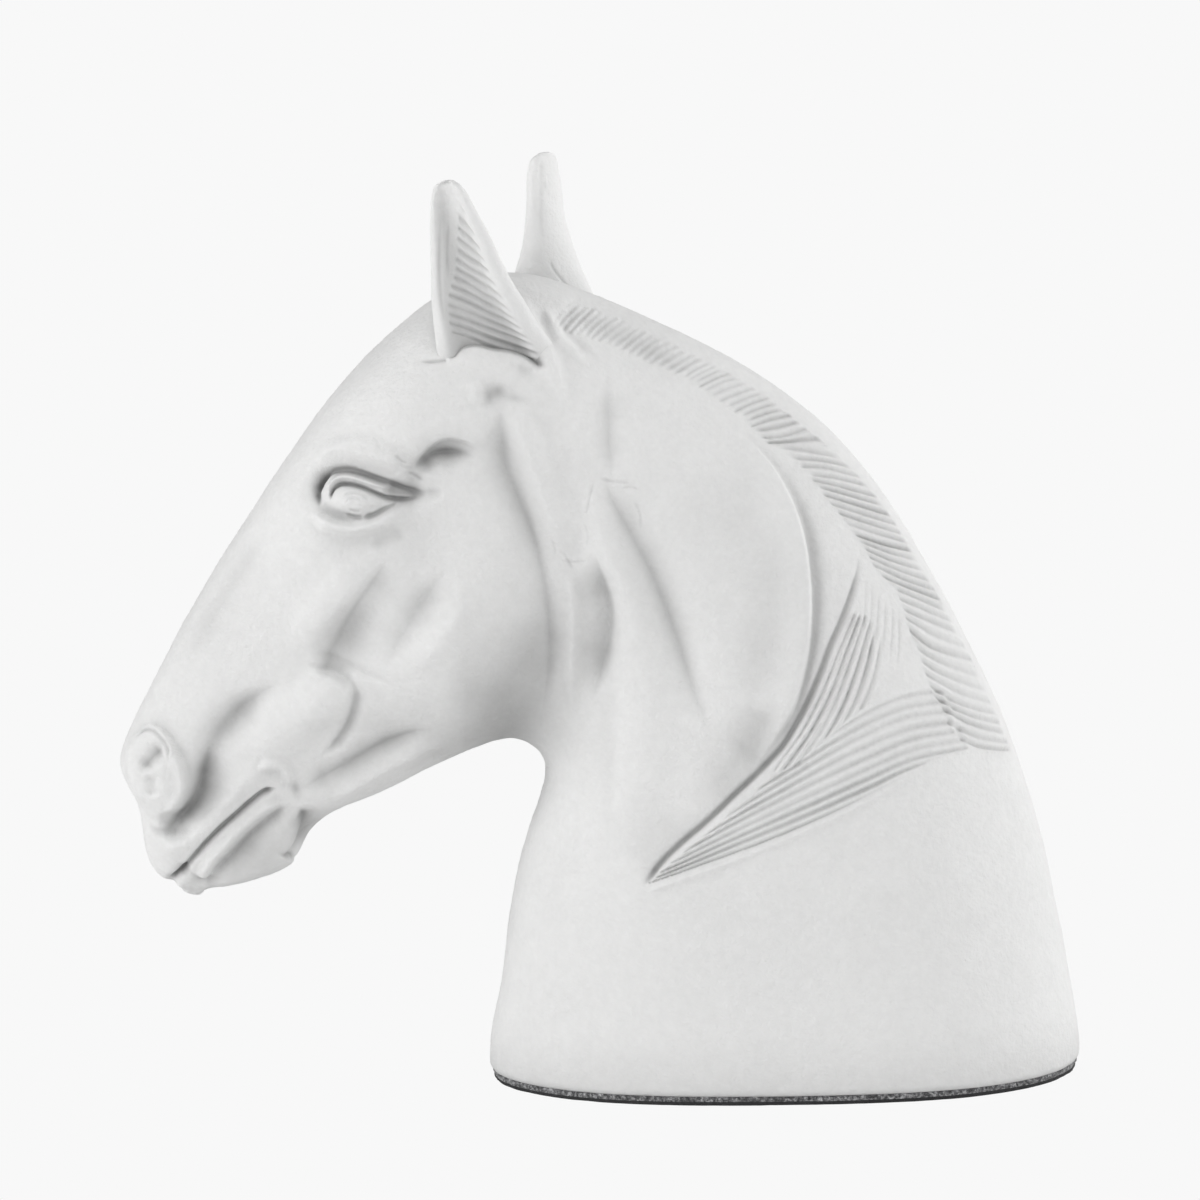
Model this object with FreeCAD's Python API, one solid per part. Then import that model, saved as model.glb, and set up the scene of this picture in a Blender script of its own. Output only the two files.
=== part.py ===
import FreeCAD, Part
import math
import os

# Horse head knight bust, free standing: a hollow casting with two ears on dowels, closed
# below by a board that carries a bolted ballast weight, on a felt and anti-slip pad.
# Millimetres. Origin at the centre of the resting face, +Z up, the muzzle points to -X,
# the animal's left side is -Y.

V3 = FreeCAD.Vector

# ---------------------------------------------------------------- driving sizes
# Pad under the foot; insets are measured in from the foot's outline
SHEET_T = 1.2            # anti-slip sheet, lowest layer
FELT_T = 1.8             # felt on top of it
FELT_INSET = 0.8
SHEET_INSET = 1.3
FOOT_Z = SHEET_T + FELT_T

# Closing board in the rebate of the foot
BOARD_T = 6.0
BOARD_INSET = 7.0        # rebate outline, in from the foot's outline
BOARD_GAP = 0.3          # clearance round the board
BOARD_TOP = FOOT_Z + BOARD_T

# Cavity: the wall at each section of the bust
MOUTH_INSET = 18.0       # at the foot
WALL = 8.0               # in the neck
WALL_HEAD = 12.0         # at the poll and the brow
MOUTH_RAMP = (1, 4)      # sections between which MOUTH_INSET becomes WALL
HEAD_RAMP = (20, 25)     # sections between which WALL becomes WALL_HEAD
CAVITY_END = 31          # last section of the hollow; the muzzle is solid

# Countersunk board screws and the threaded inserts above them
SCREW_D = 3.5
SCREW_HEAD_D = 7.0
SCREW_LEN = 14.0
SCREW_SOCKET_R = 1.15    # hexagon socket, to its corners
SCREW_SOCKET_DEPTH = 1.3
SCREW_X = 56.0           # two at +X, two at -X
SCREW_Y_FRONT = 33.0
SCREW_Y_REAR = 36.8
SCREW_PLACES = [(x, side * y) for x, y in ((-SCREW_X, SCREW_Y_FRONT), (SCREW_X, SCREW_Y_REAR))
                for side in (-1.0, 1.0)]
INSERT_D = 6.0
INSERT_BORE = SCREW_D + 0.1
INSERT_LEN = 11.0
GROOVE_WIDTH = 0.8       # rings cut round the insert
GROOVE_DEPTH = 0.4
GROOVE_PLACES = (0.25, 0.5, 0.75)  # start of each groove, as a share of the insert's length

# Ballast, behind the foot's centre, opposite the overhanging head
BALLAST_X = 36.0
BALLAST_D = 68.0
BALLAST_T = 22.0
BALLAST_CHAMFER = 1.5
BALLAST_BORE_GAP = 0.6   # bore over the bolt's diameter
BOLT_D = 8.0             # M8 countersunk
BOLT_HEAD_D = 15.6
BOLT_LEN = 41.0
BOLT_SOCKET_R = 2.9
BOLT_SOCKET_DEPTH = 3.0
WASHER_D = 24.0
WASHER_T = 2.0
WASHER_BORE_GAP = 0.4
WASHER_Z = BOARD_TOP + BALLAST_T
NUT_AF = 13.0            # across flats
NUT_T = 6.5
NUT_BORE_GAP = 0.1
NUT_TOP_R = NUT_AF / 2.0 - 0.2  # radius to which the corners are bevelled at the top
NUT_PLAIN = 0.85         # share of the height left with full corners
NUT_Z = WASHER_Z + WASHER_T

# Holes in the board for screws and bolt
SINK_GAP = 0.1           # radial, round a countersunk head
SHANK_GAP = 0.5          # over the shank's diameter
OVERRUN = 1.0            # through-hole cutters stand out this far at each end

# Upright ear dowels, half in the head and half in the ear
PIN_D = 3.0
PIN_LEN = 12.0
PIN_CLEAR = 0.05         # radial
PIN_END_GAP = 0.5        # hole beyond each end of the dowel
LEFT_PIN = (-94.0, -22.4)  # x, y
RIGHT_PIN = (-72.5, 20.6)

EAR_WALL = 3.4
EAR_WALL_SHARE = 0.75    # the wall is at most this share of the shell's depth
EAR_FILL_Z = 270.0       # the shell thickens below this height
EAR_SOLID_Z = 244.0      # and is solid below this one

# ---------------------------------------------------------------- section tables
# Half breadths are given at these angles, from the crest to the throat side, on a circle
# whose diameter is the chord between the section's two end points.
STATIONS = (15.0, 35.0, 60.0, 90.0, 120.0, 145.0, 165.0)

# Bust, from the foot to the muzzle.
# crest point x, z; throat-side point x, z; half breadths at the STATIONS
SECTIONS = [
    (97.7, FOOT_Z, -97.9, FOOT_Z, (19.0, 38.0, 52.0, 54.5, 48.5, 34.0, 16.5)),
    (97.7, 9.8, -97.5, 13.2, (18.7, 37.5, 51.4, 53.8, 47.7, 33.3, 16.2)),
    (96.4, 20.7, -95.1, 25.0, (18.2, 36.8, 50.6, 53.1, 47.2, 32.9, 16.0)),
    (94.6, 31.7, -92.8, 36.4, (17.3, 35.5, 49.4, 52.3, 46.7, 32.6, 15.8)),
    (92.9, 42.4, -91.1, 48.9, (16.4, 34.1, 48.2, 51.4, 46.2, 32.3, 15.7)),
    (90.8, 54.0, -89.5, 58.7, (15.3, 32.5, 46.6, 50.4, 45.7, 32.1, 15.6)),
    (88.6, 66.4, -88.0, 66.4, (14.4, 30.9, 44.8, 49.2, 45.0, 31.8, 15.4)),
    (85.9, 78.7, -86.1, 74.2, (13.4, 29.0, 42.8, 47.6, 44.1, 31.3, 15.2)),
    (82.5, 91.1, -83.9, 81.2, (12.5, 27.0, 40.6, 45.8, 43.0, 30.8, 14.9)),
    (78.7, 104.0, -82.0, 86.7, (11.5, 25.0, 38.4, 44.1, 41.9, 30.2, 14.7)),
    (74.2, 117.1, -80.2, 91.3, (10.5, 22.8, 36.1, 42.4, 40.7, 29.4, 14.4)),
    (68.7, 130.1, -78.9, 95.1, (9.5, 20.7, 33.9, 40.6, 39.4, 28.6, 14.0)),
    (62.6, 143.4, -78.1, 97.6, (8.8, 19.1, 32.0, 39.0, 38.1, 27.8, 13.7)),
    (56.0, 156.9, -77.7, 99.2, (8.3, 17.6, 30.2, 37.5, 36.9, 27.0, 13.4)),
    (48.9, 170.4, -77.4, 100.5, (7.9, 16.4, 28.6, 36.1, 35.7, 26.3, 13.1)),
    (41.4, 183.6, -77.3, 101.8, (7.6, 15.5, 27.5, 35.1, 34.6, 25.5, 12.8)),
    (33.1, 196.3, -77.2, 103.3, (7.4, 15.0, 26.9, 34.2, 33.5, 24.7, 12.6)),
    (23.8, 208.2, -77.2, 104.7, (7.3, 14.5, 26.3, 33.5, 32.5, 23.9, 12.3)),
    (13.2, 219.0, -77.5, 106.1, (7.2, 14.2, 26.0, 33.0, 31.7, 23.2, 12.1)),
    (1.5, 228.5, -78.0, 107.5, (7.2, 14.2, 26.1, 33.0, 31.1, 22.7, 11.9)),
    (-11.1, 236.9, -78.7, 108.8, (7.3, 14.4, 26.4, 33.0, 30.6, 22.4, 11.7)),
    (-24.2, 244.3, -79.7, 110.1, (7.5, 14.8, 26.8, 33.0, 30.2, 22.1, 11.6)),
    (-37.6, 251.0, -81.1, 111.3, (7.8, 15.5, 27.3, 32.9, 29.8, 21.8, 11.4)),
    (-51.1, 257.3, -83.0, 112.6, (8.6, 17.2, 28.1, 32.6, 29.5, 21.5, 11.0)),
    (-64.8, 263.1, -84.9, 113.4, (9.9, 19.4, 29.2, 32.6, 29.6, 21.6, 11.0)),
    (-79.0, 267.3, -87.0, 114.0, (12.0, 22.3, 30.8, 32.8, 29.8, 21.8, 11.0)),
    (-93.7, 266.9, -89.4, 114.1, (14.5, 25.2, 32.4, 33.3, 30.3, 22.4, 11.0)),
    (-107.3, 261.3, -91.7, 113.8, (16.7, 27.7, 33.8, 33.9, 30.9, 23.0, 11.0)),
    (-119.3, 252.9, -94.2, 113.3, (18.5, 29.6, 35.2, 34.5, 31.3, 23.0, 11.0)),
    (-130.4, 243.2, -96.7, 112.5, (19.9, 30.9, 36.4, 35.0, 31.5, 23.0, 11.0)),
    (-140.6, 232.7, -99.3, 111.6, (20.0, 31.0, 36.4, 34.8, 31.3, 22.8, 10.9)),
    (-149.9, 221.6, -102.1, 110.6, (20.0, 30.7, 35.9, 34.1, 30.6, 22.0, 10.7)),
    (-158.5, 210.0, -105.1, 109.3, (19.7, 30.0, 34.9, 32.9, 29.5, 21.1, 10.4)),
    (-166.8, 198.3, -108.3, 108.0, (17.6, 26.5, 31.2, 30.5, 27.6, 20.0, 9.9)),
    (-174.9, 186.6, -111.8, 106.4, (14.6, 22.1, 26.7, 27.4, 25.2, 18.7, 9.3)),
    (-182.7, 175.2, -116.1, 104.4, (12.7, 19.4, 23.8, 24.8, 22.8, 17.3, 8.8)),
    (-189.9, 163.7, -121.2, 102.0, (11.2, 17.4, 21.6, 22.3, 20.2, 15.6, 8.3)),
    (-196.6, 152.3, -126.8, 99.3, (10.4, 16.4, 20.4, 20.6, 18.3, 14.4, 8.0)),
    (-202.8, 141.1, -133.7, 96.2, (10.1, 16.1, 19.7, 19.3, 16.8, 13.4, 7.7)),
    (-208.8, 130.0, -141.2, 93.5, (10.2, 16.3, 19.7, 19.0, 16.1, 12.7, 7.3)),
    (-214.4, 119.1, -149.1, 89.7, (11.0, 17.5, 20.5, 19.0, 15.8, 12.3, 7.0)),
    (-217.2, 107.6, -155.6, 82.6, (10.5, 17.2, 20.5, 18.6, 15.3, 11.8, 6.6)),
    (-212.4, 96.2, -159.8, 75.4, (9.1, 15.4, 18.9, 17.8, 14.9, 11.5, 6.4)),
    (-210.6, 84.6, -167.7, 70.6, (8.0, 13.8, 17.2, 16.4, 13.8, 10.6, 5.6)),
    (-208.0, 74.3, -179.9, 67.5, (5.9, 10.7, 14.0, 13.8, 11.8, 9.3, 4.8)),
    (-199.5, 67.7, -191.3, 65.1, (3.0, 6.0, 8.6, 9.0, 8.0, 6.0, 3.0)),
]

# Ears, from root to tip: height z, front edge x, rear edge x, centre y, depth of the shell,
# degrees the opening is turned forwards. The left ear leans forward; the right ear stands
# more upright and is turned further.
LEFT_EAR = [
    (224.0, -104.0, -62.0, -14.0, 8.0, -8.0),
    (235.0, -106.5, -65.5, -17.5, 9.0, -8.0),
    (246.0, -107.9, -71.2, -22.2, 10.5, -8.0),
    (254.0, -108.7, -76.2, -24.4, 11.3, -3.0),
    (262.5, -109.8, -80.5, -25.4, 10.5, 8.0),
    (270.5, -110.0, -84.8, -25.4, 9.6, 16.0),
    (278.7, -109.9, -88.4, -24.9, 8.6, 22.0),
    (287.0, -109.7, -92.2, -25.4, 7.4, 22.0),
    (294.0, -109.3, -95.8, -25.8, 6.3, 22.0),
    (298.0, -108.6, -98.0, -26.0, 5.4, 22.0),
    (299.9, -107.6, -99.6, -26.0, 4.4, 22.0),
    (300.8, -105.9, -101.0, -26.0, 3.0, 22.0),
]
RIGHT_EAR = [
    (226.0, -92.0, -50.0, 12.0, 9.0, 4.0),
    (238.0, -92.0, -50.5, 17.0, 10.0, 6.0),
    (248.0, -90.5, -54.4, 20.0, 11.0, 10.0),
    (255.4, -88.0, -57.2, 21.2, 11.0, 15.0),
    (262.0, -85.0, -59.8, 22.0, 10.3, 22.0),
    (269.0, -82.3, -62.6, 22.6, 9.5, 30.0),
    (276.0, -80.4, -64.8, 23.0, 8.8, 38.0),
    (282.5, -79.5, -66.6, 23.4, 8.0, 43.0),
    (289.2, -79.0, -67.2, 23.7, 7.0, 45.0),
    (296.0, -78.8, -67.8, 24.0, 5.8, 45.0),
    (301.0, -78.0, -68.6, 24.0, 4.6, 45.0),
    (303.4, -76.6, -69.4, 24.0, 3.6, 45.0),
    (304.2, -75.2, -70.4, 24.0, 2.6, 45.0),
]


# ---------------------------------------------------------------- spline skin
def solve(matrix, rhs):
    """Gaussian elimination with pivoting; the rows of rhs are tuples."""
    n = len(matrix)
    rows = [list(left) + list(right) for left, right in zip(matrix, rhs)]
    width = len(rows[0])
    for c in range(n):
        pivot = max(range(c, n), key=lambda r: abs(rows[r][c]))
        rows[c], rows[pivot] = rows[pivot], rows[c]
        inverse = 1.0 / rows[c][c]
        for r in range(c + 1, n):
            factor = rows[r][c] * inverse
            for k in range(c, width):
                rows[r][k] -= factor * rows[c][k]
    for c in range(n - 1, -1, -1):
        inverse = 1.0 / rows[c][c]
        for k in range(n, width):
            rows[c][k] *= inverse
        for r in range(c):
            for k in range(n, width):
                rows[r][k] -= rows[r][c] * rows[c][k]
    return [tuple(row[n:]) for row in rows]


def basis(knots, n, degree, u):
    """All n B-spline basis values at u."""
    if u >= knots[-1]:
        return [0.0] * (n - 1) + [1.0]
    values = [1.0 if knots[i] <= u < knots[i + 1] else 0.0 for i in range(len(knots) - 1)]
    for d in range(1, degree + 1):
        raised = []
        for i in range(len(knots) - 1 - d):
            value = 0.0
            span = knots[i + d] - knots[i]
            if span > 0:
                value += (u - knots[i]) / span * values[i]
            span = knots[i + d + 1] - knots[i + 1]
            if span > 0:
                value += (knots[i + d + 1] - u) / span * values[i + 1]
            raised.append(value)
        values = raised
    return values[:n]


def skin(rings):
    """Closed solid through rings of points: smooth round each ring and along them."""
    n_round, n_along = len(rings[0]), len(rings)

    # round each ring: uniform periodic cubic
    circular = [[0.0] * n_round for _ in range(n_round)]
    for i in range(n_round):
        circular[i][(i - 1) % n_round] += 1.0 / 6.0
        circular[i][i] += 4.0 / 6.0
        circular[i][(i + 1) % n_round] += 1.0 / 6.0
    ring_poles = [solve(circular, [(p.x, p.y, p.z) for p in ring]) for ring in rings]

    # along the rings: clamped cubic, parameters from the mean distance between rings
    run = [0.0]
    for before, after in zip(rings, rings[1:]):
        step = sum((b - a).Length for a, b in zip(before, after)) / n_round
        run.append(run[-1] + max(step, 0.05))
    t = [s / run[-1] for s in run]
    inner_knots = [(t[j] + t[j + 1] + t[j + 2]) / 3.0 for j in range(1, n_along - 3)]
    flat_knots = [0.0] * 4 + inner_knots + [1.0] * 4
    poles = solve([basis(flat_knots, n_along, 3, tj) for tj in t],
                  [tuple(c for pole in row for c in pole) for row in ring_poles])
    net = [[V3(*row[3 * i:3 * i + 3]) for row in poles] for i in range(n_round)]

    surface = Part.BSplineSurface()
    # poles; multiplicities round, along; knots round, along; periodic flags; degrees
    surface.buildFromPolesMultsKnots(
        net, [1] * (n_round + 1), [4] + [1] * len(inner_knots) + [4],
        [float(i) for i in range(n_round + 1)], [0.0] + inner_knots + [1.0],
        True, False, 3, 3)
    caps = [Part.Face(Part.Wire([surface.vIso(v).toShape()])) for v in (0.0, 1.0)]
    shell = Part.Shell([surface.toShape()] + caps)
    shell.sewShape()
    solid = Part.Solid(shell)
    # guards against a seam between skin and cap that did not close cleanly
    if not solid.isValid():
        solid.fix(1e-4, 1e-4, 1e-3)
    # the rings may run either way round
    if solid.Volume < 0:
        solid.reverse()
    return solid


# ---------------------------------------------------------------- helpers
def ramp(value, start, end):
    """0 at start, 1 at end, straight between and held outside."""
    return min(max((value - start) / (end - start), 0.0), 1.0)


def section_ring(i, wall):
    """Ring of 16 points for section i, moved in by wall."""
    crest_x, crest_z, throat_x, throat_z, half_breadths = SECTIONS[i]
    crest, throat = V3(crest_x, 0, crest_z), V3(throat_x, 0, throat_z)
    along = (throat - crest).normalize()
    crest = crest + along * wall
    throat = throat - along * wall
    chord = throat - crest
    widest = max(half_breadths)
    scale = (widest - wall) / widest
    side = []
    for angle, half in zip(STATIONS, half_breadths):
        p = crest + chord * ((1.0 - math.cos(math.radians(angle))) / 2.0)
        side.append(V3(p.x, half * scale, p.z))
    mirrored = [V3(p.x, -p.y, p.z) for p in reversed(side)]
    return [crest] + side + [throat] + mirrored


def outline_solid(inset, bottom, top):
    """Straight-sided plate with the foot's outline, moved in by inset."""
    curve = Part.BSplineCurve()
    curve.interpolate(Points=[V3(p.x, p.y, bottom) for p in section_ring(0, inset)],
                      PeriodicFlag=True)
    return Part.Face(Part.Wire([curve.toShape()])).extrude(V3(0, 0, top - bottom))


def cyl(diameter, length, base):
    """Upright cylinder."""
    return Part.makeCylinder(diameter / 2.0, length, base)


def through(diameter, length, base):
    """Cutter for an upright through hole."""
    return cyl(diameter, length + 2 * OVERRUN, base - V3(0, 0, OVERRUN))


def hexagon(corner_r, height, base):
    """Upright hexagonal prism."""
    corners = []
    for k in range(7):
        angle = math.radians(60 * k)
        corners.append(base + V3(corner_r * math.cos(angle), corner_r * math.sin(angle), 0))
    return Part.Face(Part.makePolygon(corners)).extrude(V3(0, 0, height))


def only(shape):
    """The single largest solid of a shape."""
    return max(shape.Solids, key=lambda s: s.Volume)


def countersunk(head_d, shank_d, length, base, socket_r, socket_depth):
    """Screw standing on its head, with a hexagon socket in the underside."""
    head_h = (head_d - shank_d) / 2.0
    head = Part.makeCone(head_d / 2.0, shank_d / 2.0, head_h, base)
    shank = cyl(shank_d, length - head_h, base + V3(0, 0, head_h))
    socket = hexagon(socket_r, socket_depth, base)
    return only(head.fuse(shank).removeSplitter().cut(socket))


def cut_countersink(board, head_d, shank_d, base):
    """Board with a countersunk hole from below."""
    board = board.cut(Part.makeCone(head_d / 2.0 + SINK_GAP, shank_d / 2.0 + SINK_GAP,
                                    (head_d - shank_d) / 2.0, base))
    return board.cut(through(shank_d + SHANK_GAP, BOARD_T, base))


# ---------------------------------------------------------------- ears and dowels
def ear_ring(row, side):
    """One level of an ear; side is -1 for the left, +1 for the right."""
    z, front_x, rear_x, centre_y, depth, turn = row
    angle = math.radians(turn)
    half = (rear_x - front_x) / 2.0 / math.cos(angle)
    to_rear = V3(math.cos(angle), side * math.sin(angle), 0)
    outward = V3(-math.sin(angle), side * math.cos(angle), 0)
    wall = min(EAR_WALL, depth * EAR_WALL_SHARE)
    hollow = (depth - wall) * (1.0 - ramp(z, EAR_FILL_Z, EAR_SOLID_Z))
    # share of the half length towards the rear rim; distance out of the opening
    profile = [
        (-1.0, 0.0), (-0.90, -0.42 * depth), (-0.55, -0.83 * depth), (0.0, -depth),
        (0.55, -0.83 * depth), (0.90, -0.42 * depth), (1.0, 0.0),
        (0.84, 0.12 * wall), (0.42, -0.80 * hollow), (0.0, -hollow),
        (-0.42, -0.80 * hollow), (-0.84, 0.12 * wall),
    ]
    points = [to_rear * (half * p) + outward * (q + depth * 0.5) for p, q in profile]
    low, high = min(p.x for p in points), max(p.x for p in points)
    # keep the ring's length in x exactly from front_x to rear_x
    stretch = (rear_x - front_x) / (high - low)
    return [V3(front_x + (p.x - low) * stretch, centre_y + p.y, z) for p in points]


def make_ear(rows, side, outer, pin_holes):
    """Curved shell ear, open outwards, seated on the bust's skin."""
    ear = only(skin([ear_ring(row, side) for row in rows]).cut(outer))
    for hole in pin_holes:
        ear = ear.cut(hole)
    return only(ear)


def pin_base(x, y, outer):
    """Lower end of a dowel centred on the bust's skin."""
    line = Part.makeLine(V3(x, y, 150), V3(x, y, 320))
    skin_z = max(v.Z for v in line.common(outer).Vertexes)
    return V3(x, y, skin_z - PIN_LEN / 2.0)


# ---------------------------------------------------------------- casting and its closing
def make_casting(outer, pin_holes):
    """Hollow bust with the board's rebate and the holes for inserts and dowels."""
    rings = []
    for i in range(CAVITY_END + 1):
        wall = (MOUTH_INSET + (WALL - MOUTH_INSET) * ramp(i, *MOUTH_RAMP)
                + (WALL_HEAD - WALL) * ramp(i, *HEAD_RAMP))
        rings.append(section_ring(i, wall))
    casting = outer.cut(skin(rings)).cut(outline_solid(BOARD_INSET, FOOT_Z, BOARD_TOP))
    for x, y in SCREW_PLACES:
        casting = casting.cut(cyl(INSERT_D, INSERT_LEN, V3(x, y, BOARD_TOP)))
    for hole in pin_holes:
        casting = casting.cut(hole)
    return only(casting)


def make_insert(x, y):
    """Grooved sleeve in the ledge above the board."""
    base = V3(x, y, BOARD_TOP)
    insert = cyl(INSERT_D, INSERT_LEN, base)
    for share in GROOVE_PLACES:
        at = base + V3(0, 0, INSERT_LEN * share)
        groove = cyl(INSERT_D + 1.0, GROOVE_WIDTH, at)
        groove = groove.cut(cyl(INSERT_D - 2 * GROOVE_DEPTH, GROOVE_WIDTH, at))
        insert = insert.cut(groove)
    return insert.cut(through(INSERT_BORE, INSERT_LEN, base))


def make_screw(x, y):
    """Board screw, head flush with the underside of the board."""
    return countersunk(SCREW_HEAD_D, SCREW_D, SCREW_LEN, V3(x, y, FOOT_Z),
                       SCREW_SOCKET_R, SCREW_SOCKET_DEPTH)


def make_board():
    board = outline_solid(BOARD_INSET + BOARD_GAP, FOOT_Z, BOARD_TOP)
    for x, y in SCREW_PLACES:
        board = cut_countersink(board, SCREW_HEAD_D, SCREW_D, V3(x, y, FOOT_Z))
    return only(cut_countersink(board, BOLT_HEAD_D, BOLT_D, V3(BALLAST_X, 0, FOOT_Z)))


# ---------------------------------------------------------------- ballast stack
def make_ballast():
    base = V3(BALLAST_X, 0, BOARD_TOP)
    ballast = cyl(BALLAST_D, BALLAST_T, base)
    rims = [e for e in ballast.Edges if len(e.Vertexes) == 1]
    ballast = ballast.makeChamfer(BALLAST_CHAMFER, rims)
    return only(ballast.cut(through(BOLT_D + BALLAST_BORE_GAP, BALLAST_T, base)))


def make_bolt():
    return countersunk(BOLT_HEAD_D, BOLT_D, BOLT_LEN, V3(BALLAST_X, 0, FOOT_Z),
                       BOLT_SOCKET_R, BOLT_SOCKET_DEPTH)


def make_washer():
    base = V3(BALLAST_X, 0, WASHER_Z)
    return cyl(WASHER_D, WASHER_T, base).cut(through(BOLT_D + WASHER_BORE_GAP, WASHER_T, base))


def make_nut():
    """Hexagon nut, corners bevelled at 45 degrees near the top."""
    base = V3(BALLAST_X, 0, NUT_Z)
    bevel = Part.makeCone(NUT_TOP_R + NUT_T, NUT_TOP_R, NUT_T, base)
    # wider than the corners, so the hexagon stays whole below the bevel
    envelope = bevel.fuse(cyl(NUT_AF * 1.3, NUT_T * NUT_PLAIN, base))
    nut = hexagon(NUT_AF / math.sqrt(3.0), NUT_T, base).common(envelope)
    return only(nut.cut(through(BOLT_D + NUT_BORE_GAP, NUT_T, base)))


# ---------------------------------------------------------------- build and save
outer = skin([section_ring(i, 0.0) for i in range(len(SECTIONS))])
pin_bases = [pin_base(x, y, outer) for x, y in (LEFT_PIN, RIGHT_PIN)]
pin_holes = [cyl(PIN_D + 2 * PIN_CLEAR, PIN_LEN + 2 * PIN_END_GAP, base - V3(0, 0, PIN_END_GAP))
             for base in pin_bases]

parts = {
    "bust_casting": make_casting(outer, pin_holes),
    "left_ear": make_ear(LEFT_EAR, -1.0, outer, pin_holes),
    "right_ear": make_ear(RIGHT_EAR, 1.0, outer, pin_holes),
    "ear_pins": Part.makeCompound([cyl(PIN_D, PIN_LEN, base) for base in pin_bases]),
    "base_board": make_board(),
    "threaded_inserts": Part.makeCompound([make_insert(x, y) for x, y in SCREW_PLACES]),
    "board_screws": Part.makeCompound([make_screw(x, y) for x, y in SCREW_PLACES]),
    "ballast_weight": make_ballast(),
    "ballast_bolt": make_bolt(),
    "ballast_washer": make_washer(),
    "ballast_nut": make_nut(),
    "base_felt": outline_solid(FELT_INSET, SHEET_T, FOOT_Z),
    "anti_slip_sheet": outline_solid(SHEET_INSET, 0.0, SHEET_T),
}

os.makedirs("parts", exist_ok=True)
for name, shape in parts.items():
    shape.exportStep("parts/%s.step" % name)
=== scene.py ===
# A white plaster bust of a horse's head on a foot, with felt and an anti-slip sheet below.
# The head faces -x with its crest toward +x, z is up, and the floor is z = 0.
# The horse's left side is -y, the side the camera sees.
import bpy
import math
import mathutils
import numpy as np
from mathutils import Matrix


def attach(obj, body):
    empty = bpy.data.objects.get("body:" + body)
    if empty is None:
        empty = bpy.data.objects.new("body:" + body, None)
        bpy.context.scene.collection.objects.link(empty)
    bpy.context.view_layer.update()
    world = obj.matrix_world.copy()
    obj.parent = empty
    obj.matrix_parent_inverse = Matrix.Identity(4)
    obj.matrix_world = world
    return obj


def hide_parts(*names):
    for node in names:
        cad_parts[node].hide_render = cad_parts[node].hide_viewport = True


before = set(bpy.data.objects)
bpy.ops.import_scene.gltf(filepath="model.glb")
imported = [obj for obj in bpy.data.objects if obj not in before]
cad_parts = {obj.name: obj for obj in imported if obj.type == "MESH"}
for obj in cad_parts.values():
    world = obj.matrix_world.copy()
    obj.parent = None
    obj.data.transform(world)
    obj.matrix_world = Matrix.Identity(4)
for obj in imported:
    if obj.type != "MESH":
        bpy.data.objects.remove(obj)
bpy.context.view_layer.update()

MM = 0.001                               # meshes are worked out in mm

# Mesh and casting sizes, mm
BUST_STEP = 0.46
EAR_STEP = 0.4
EAR_GIRTH = 72                           # nominal, sets the column count
PAD_COLUMNS = 1100
DECIMATE_RATIO = 0.55
FOOT_Z = 3.0                             # underside of the casting, top of the felt
SHEET_TOP = 1.2                          # top of the anti-slip sheet
REBATE_INSET = 7.0                       # recess for the board
REBATE_TOP = 9.0
FOOT_WALL, BODY_WALL, HEAD_WALL = 18.0, 8.0, 12.0
CAVITY_SECTIONS = 32                     # the cavity follows this many sections
CAVITY_ROWS = 70
MUZZLE_ROUND, MUZZLE_TIP = 2.2, 2.25
EAR_ROUND = np.array([0, 0, 0.7])

# Painted shade, darkening the colour: share held by fine and by wide hollows; in the ears, all over
# and extra low down
FINE_PAINTED_SHADE, WIDE_PAINTED_SHADE = 0.26, 0.22
EAR_PAINTED_SHADE, EAR_LOW_PAINTED_SHADE = 0.09, 0.17

# Angles of the seven breadth stations round each section's chord
STATIONS = np.radians([15.0, 35.0, 60.0, 90.0, 120.0, 145.0, 165.0])
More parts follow.
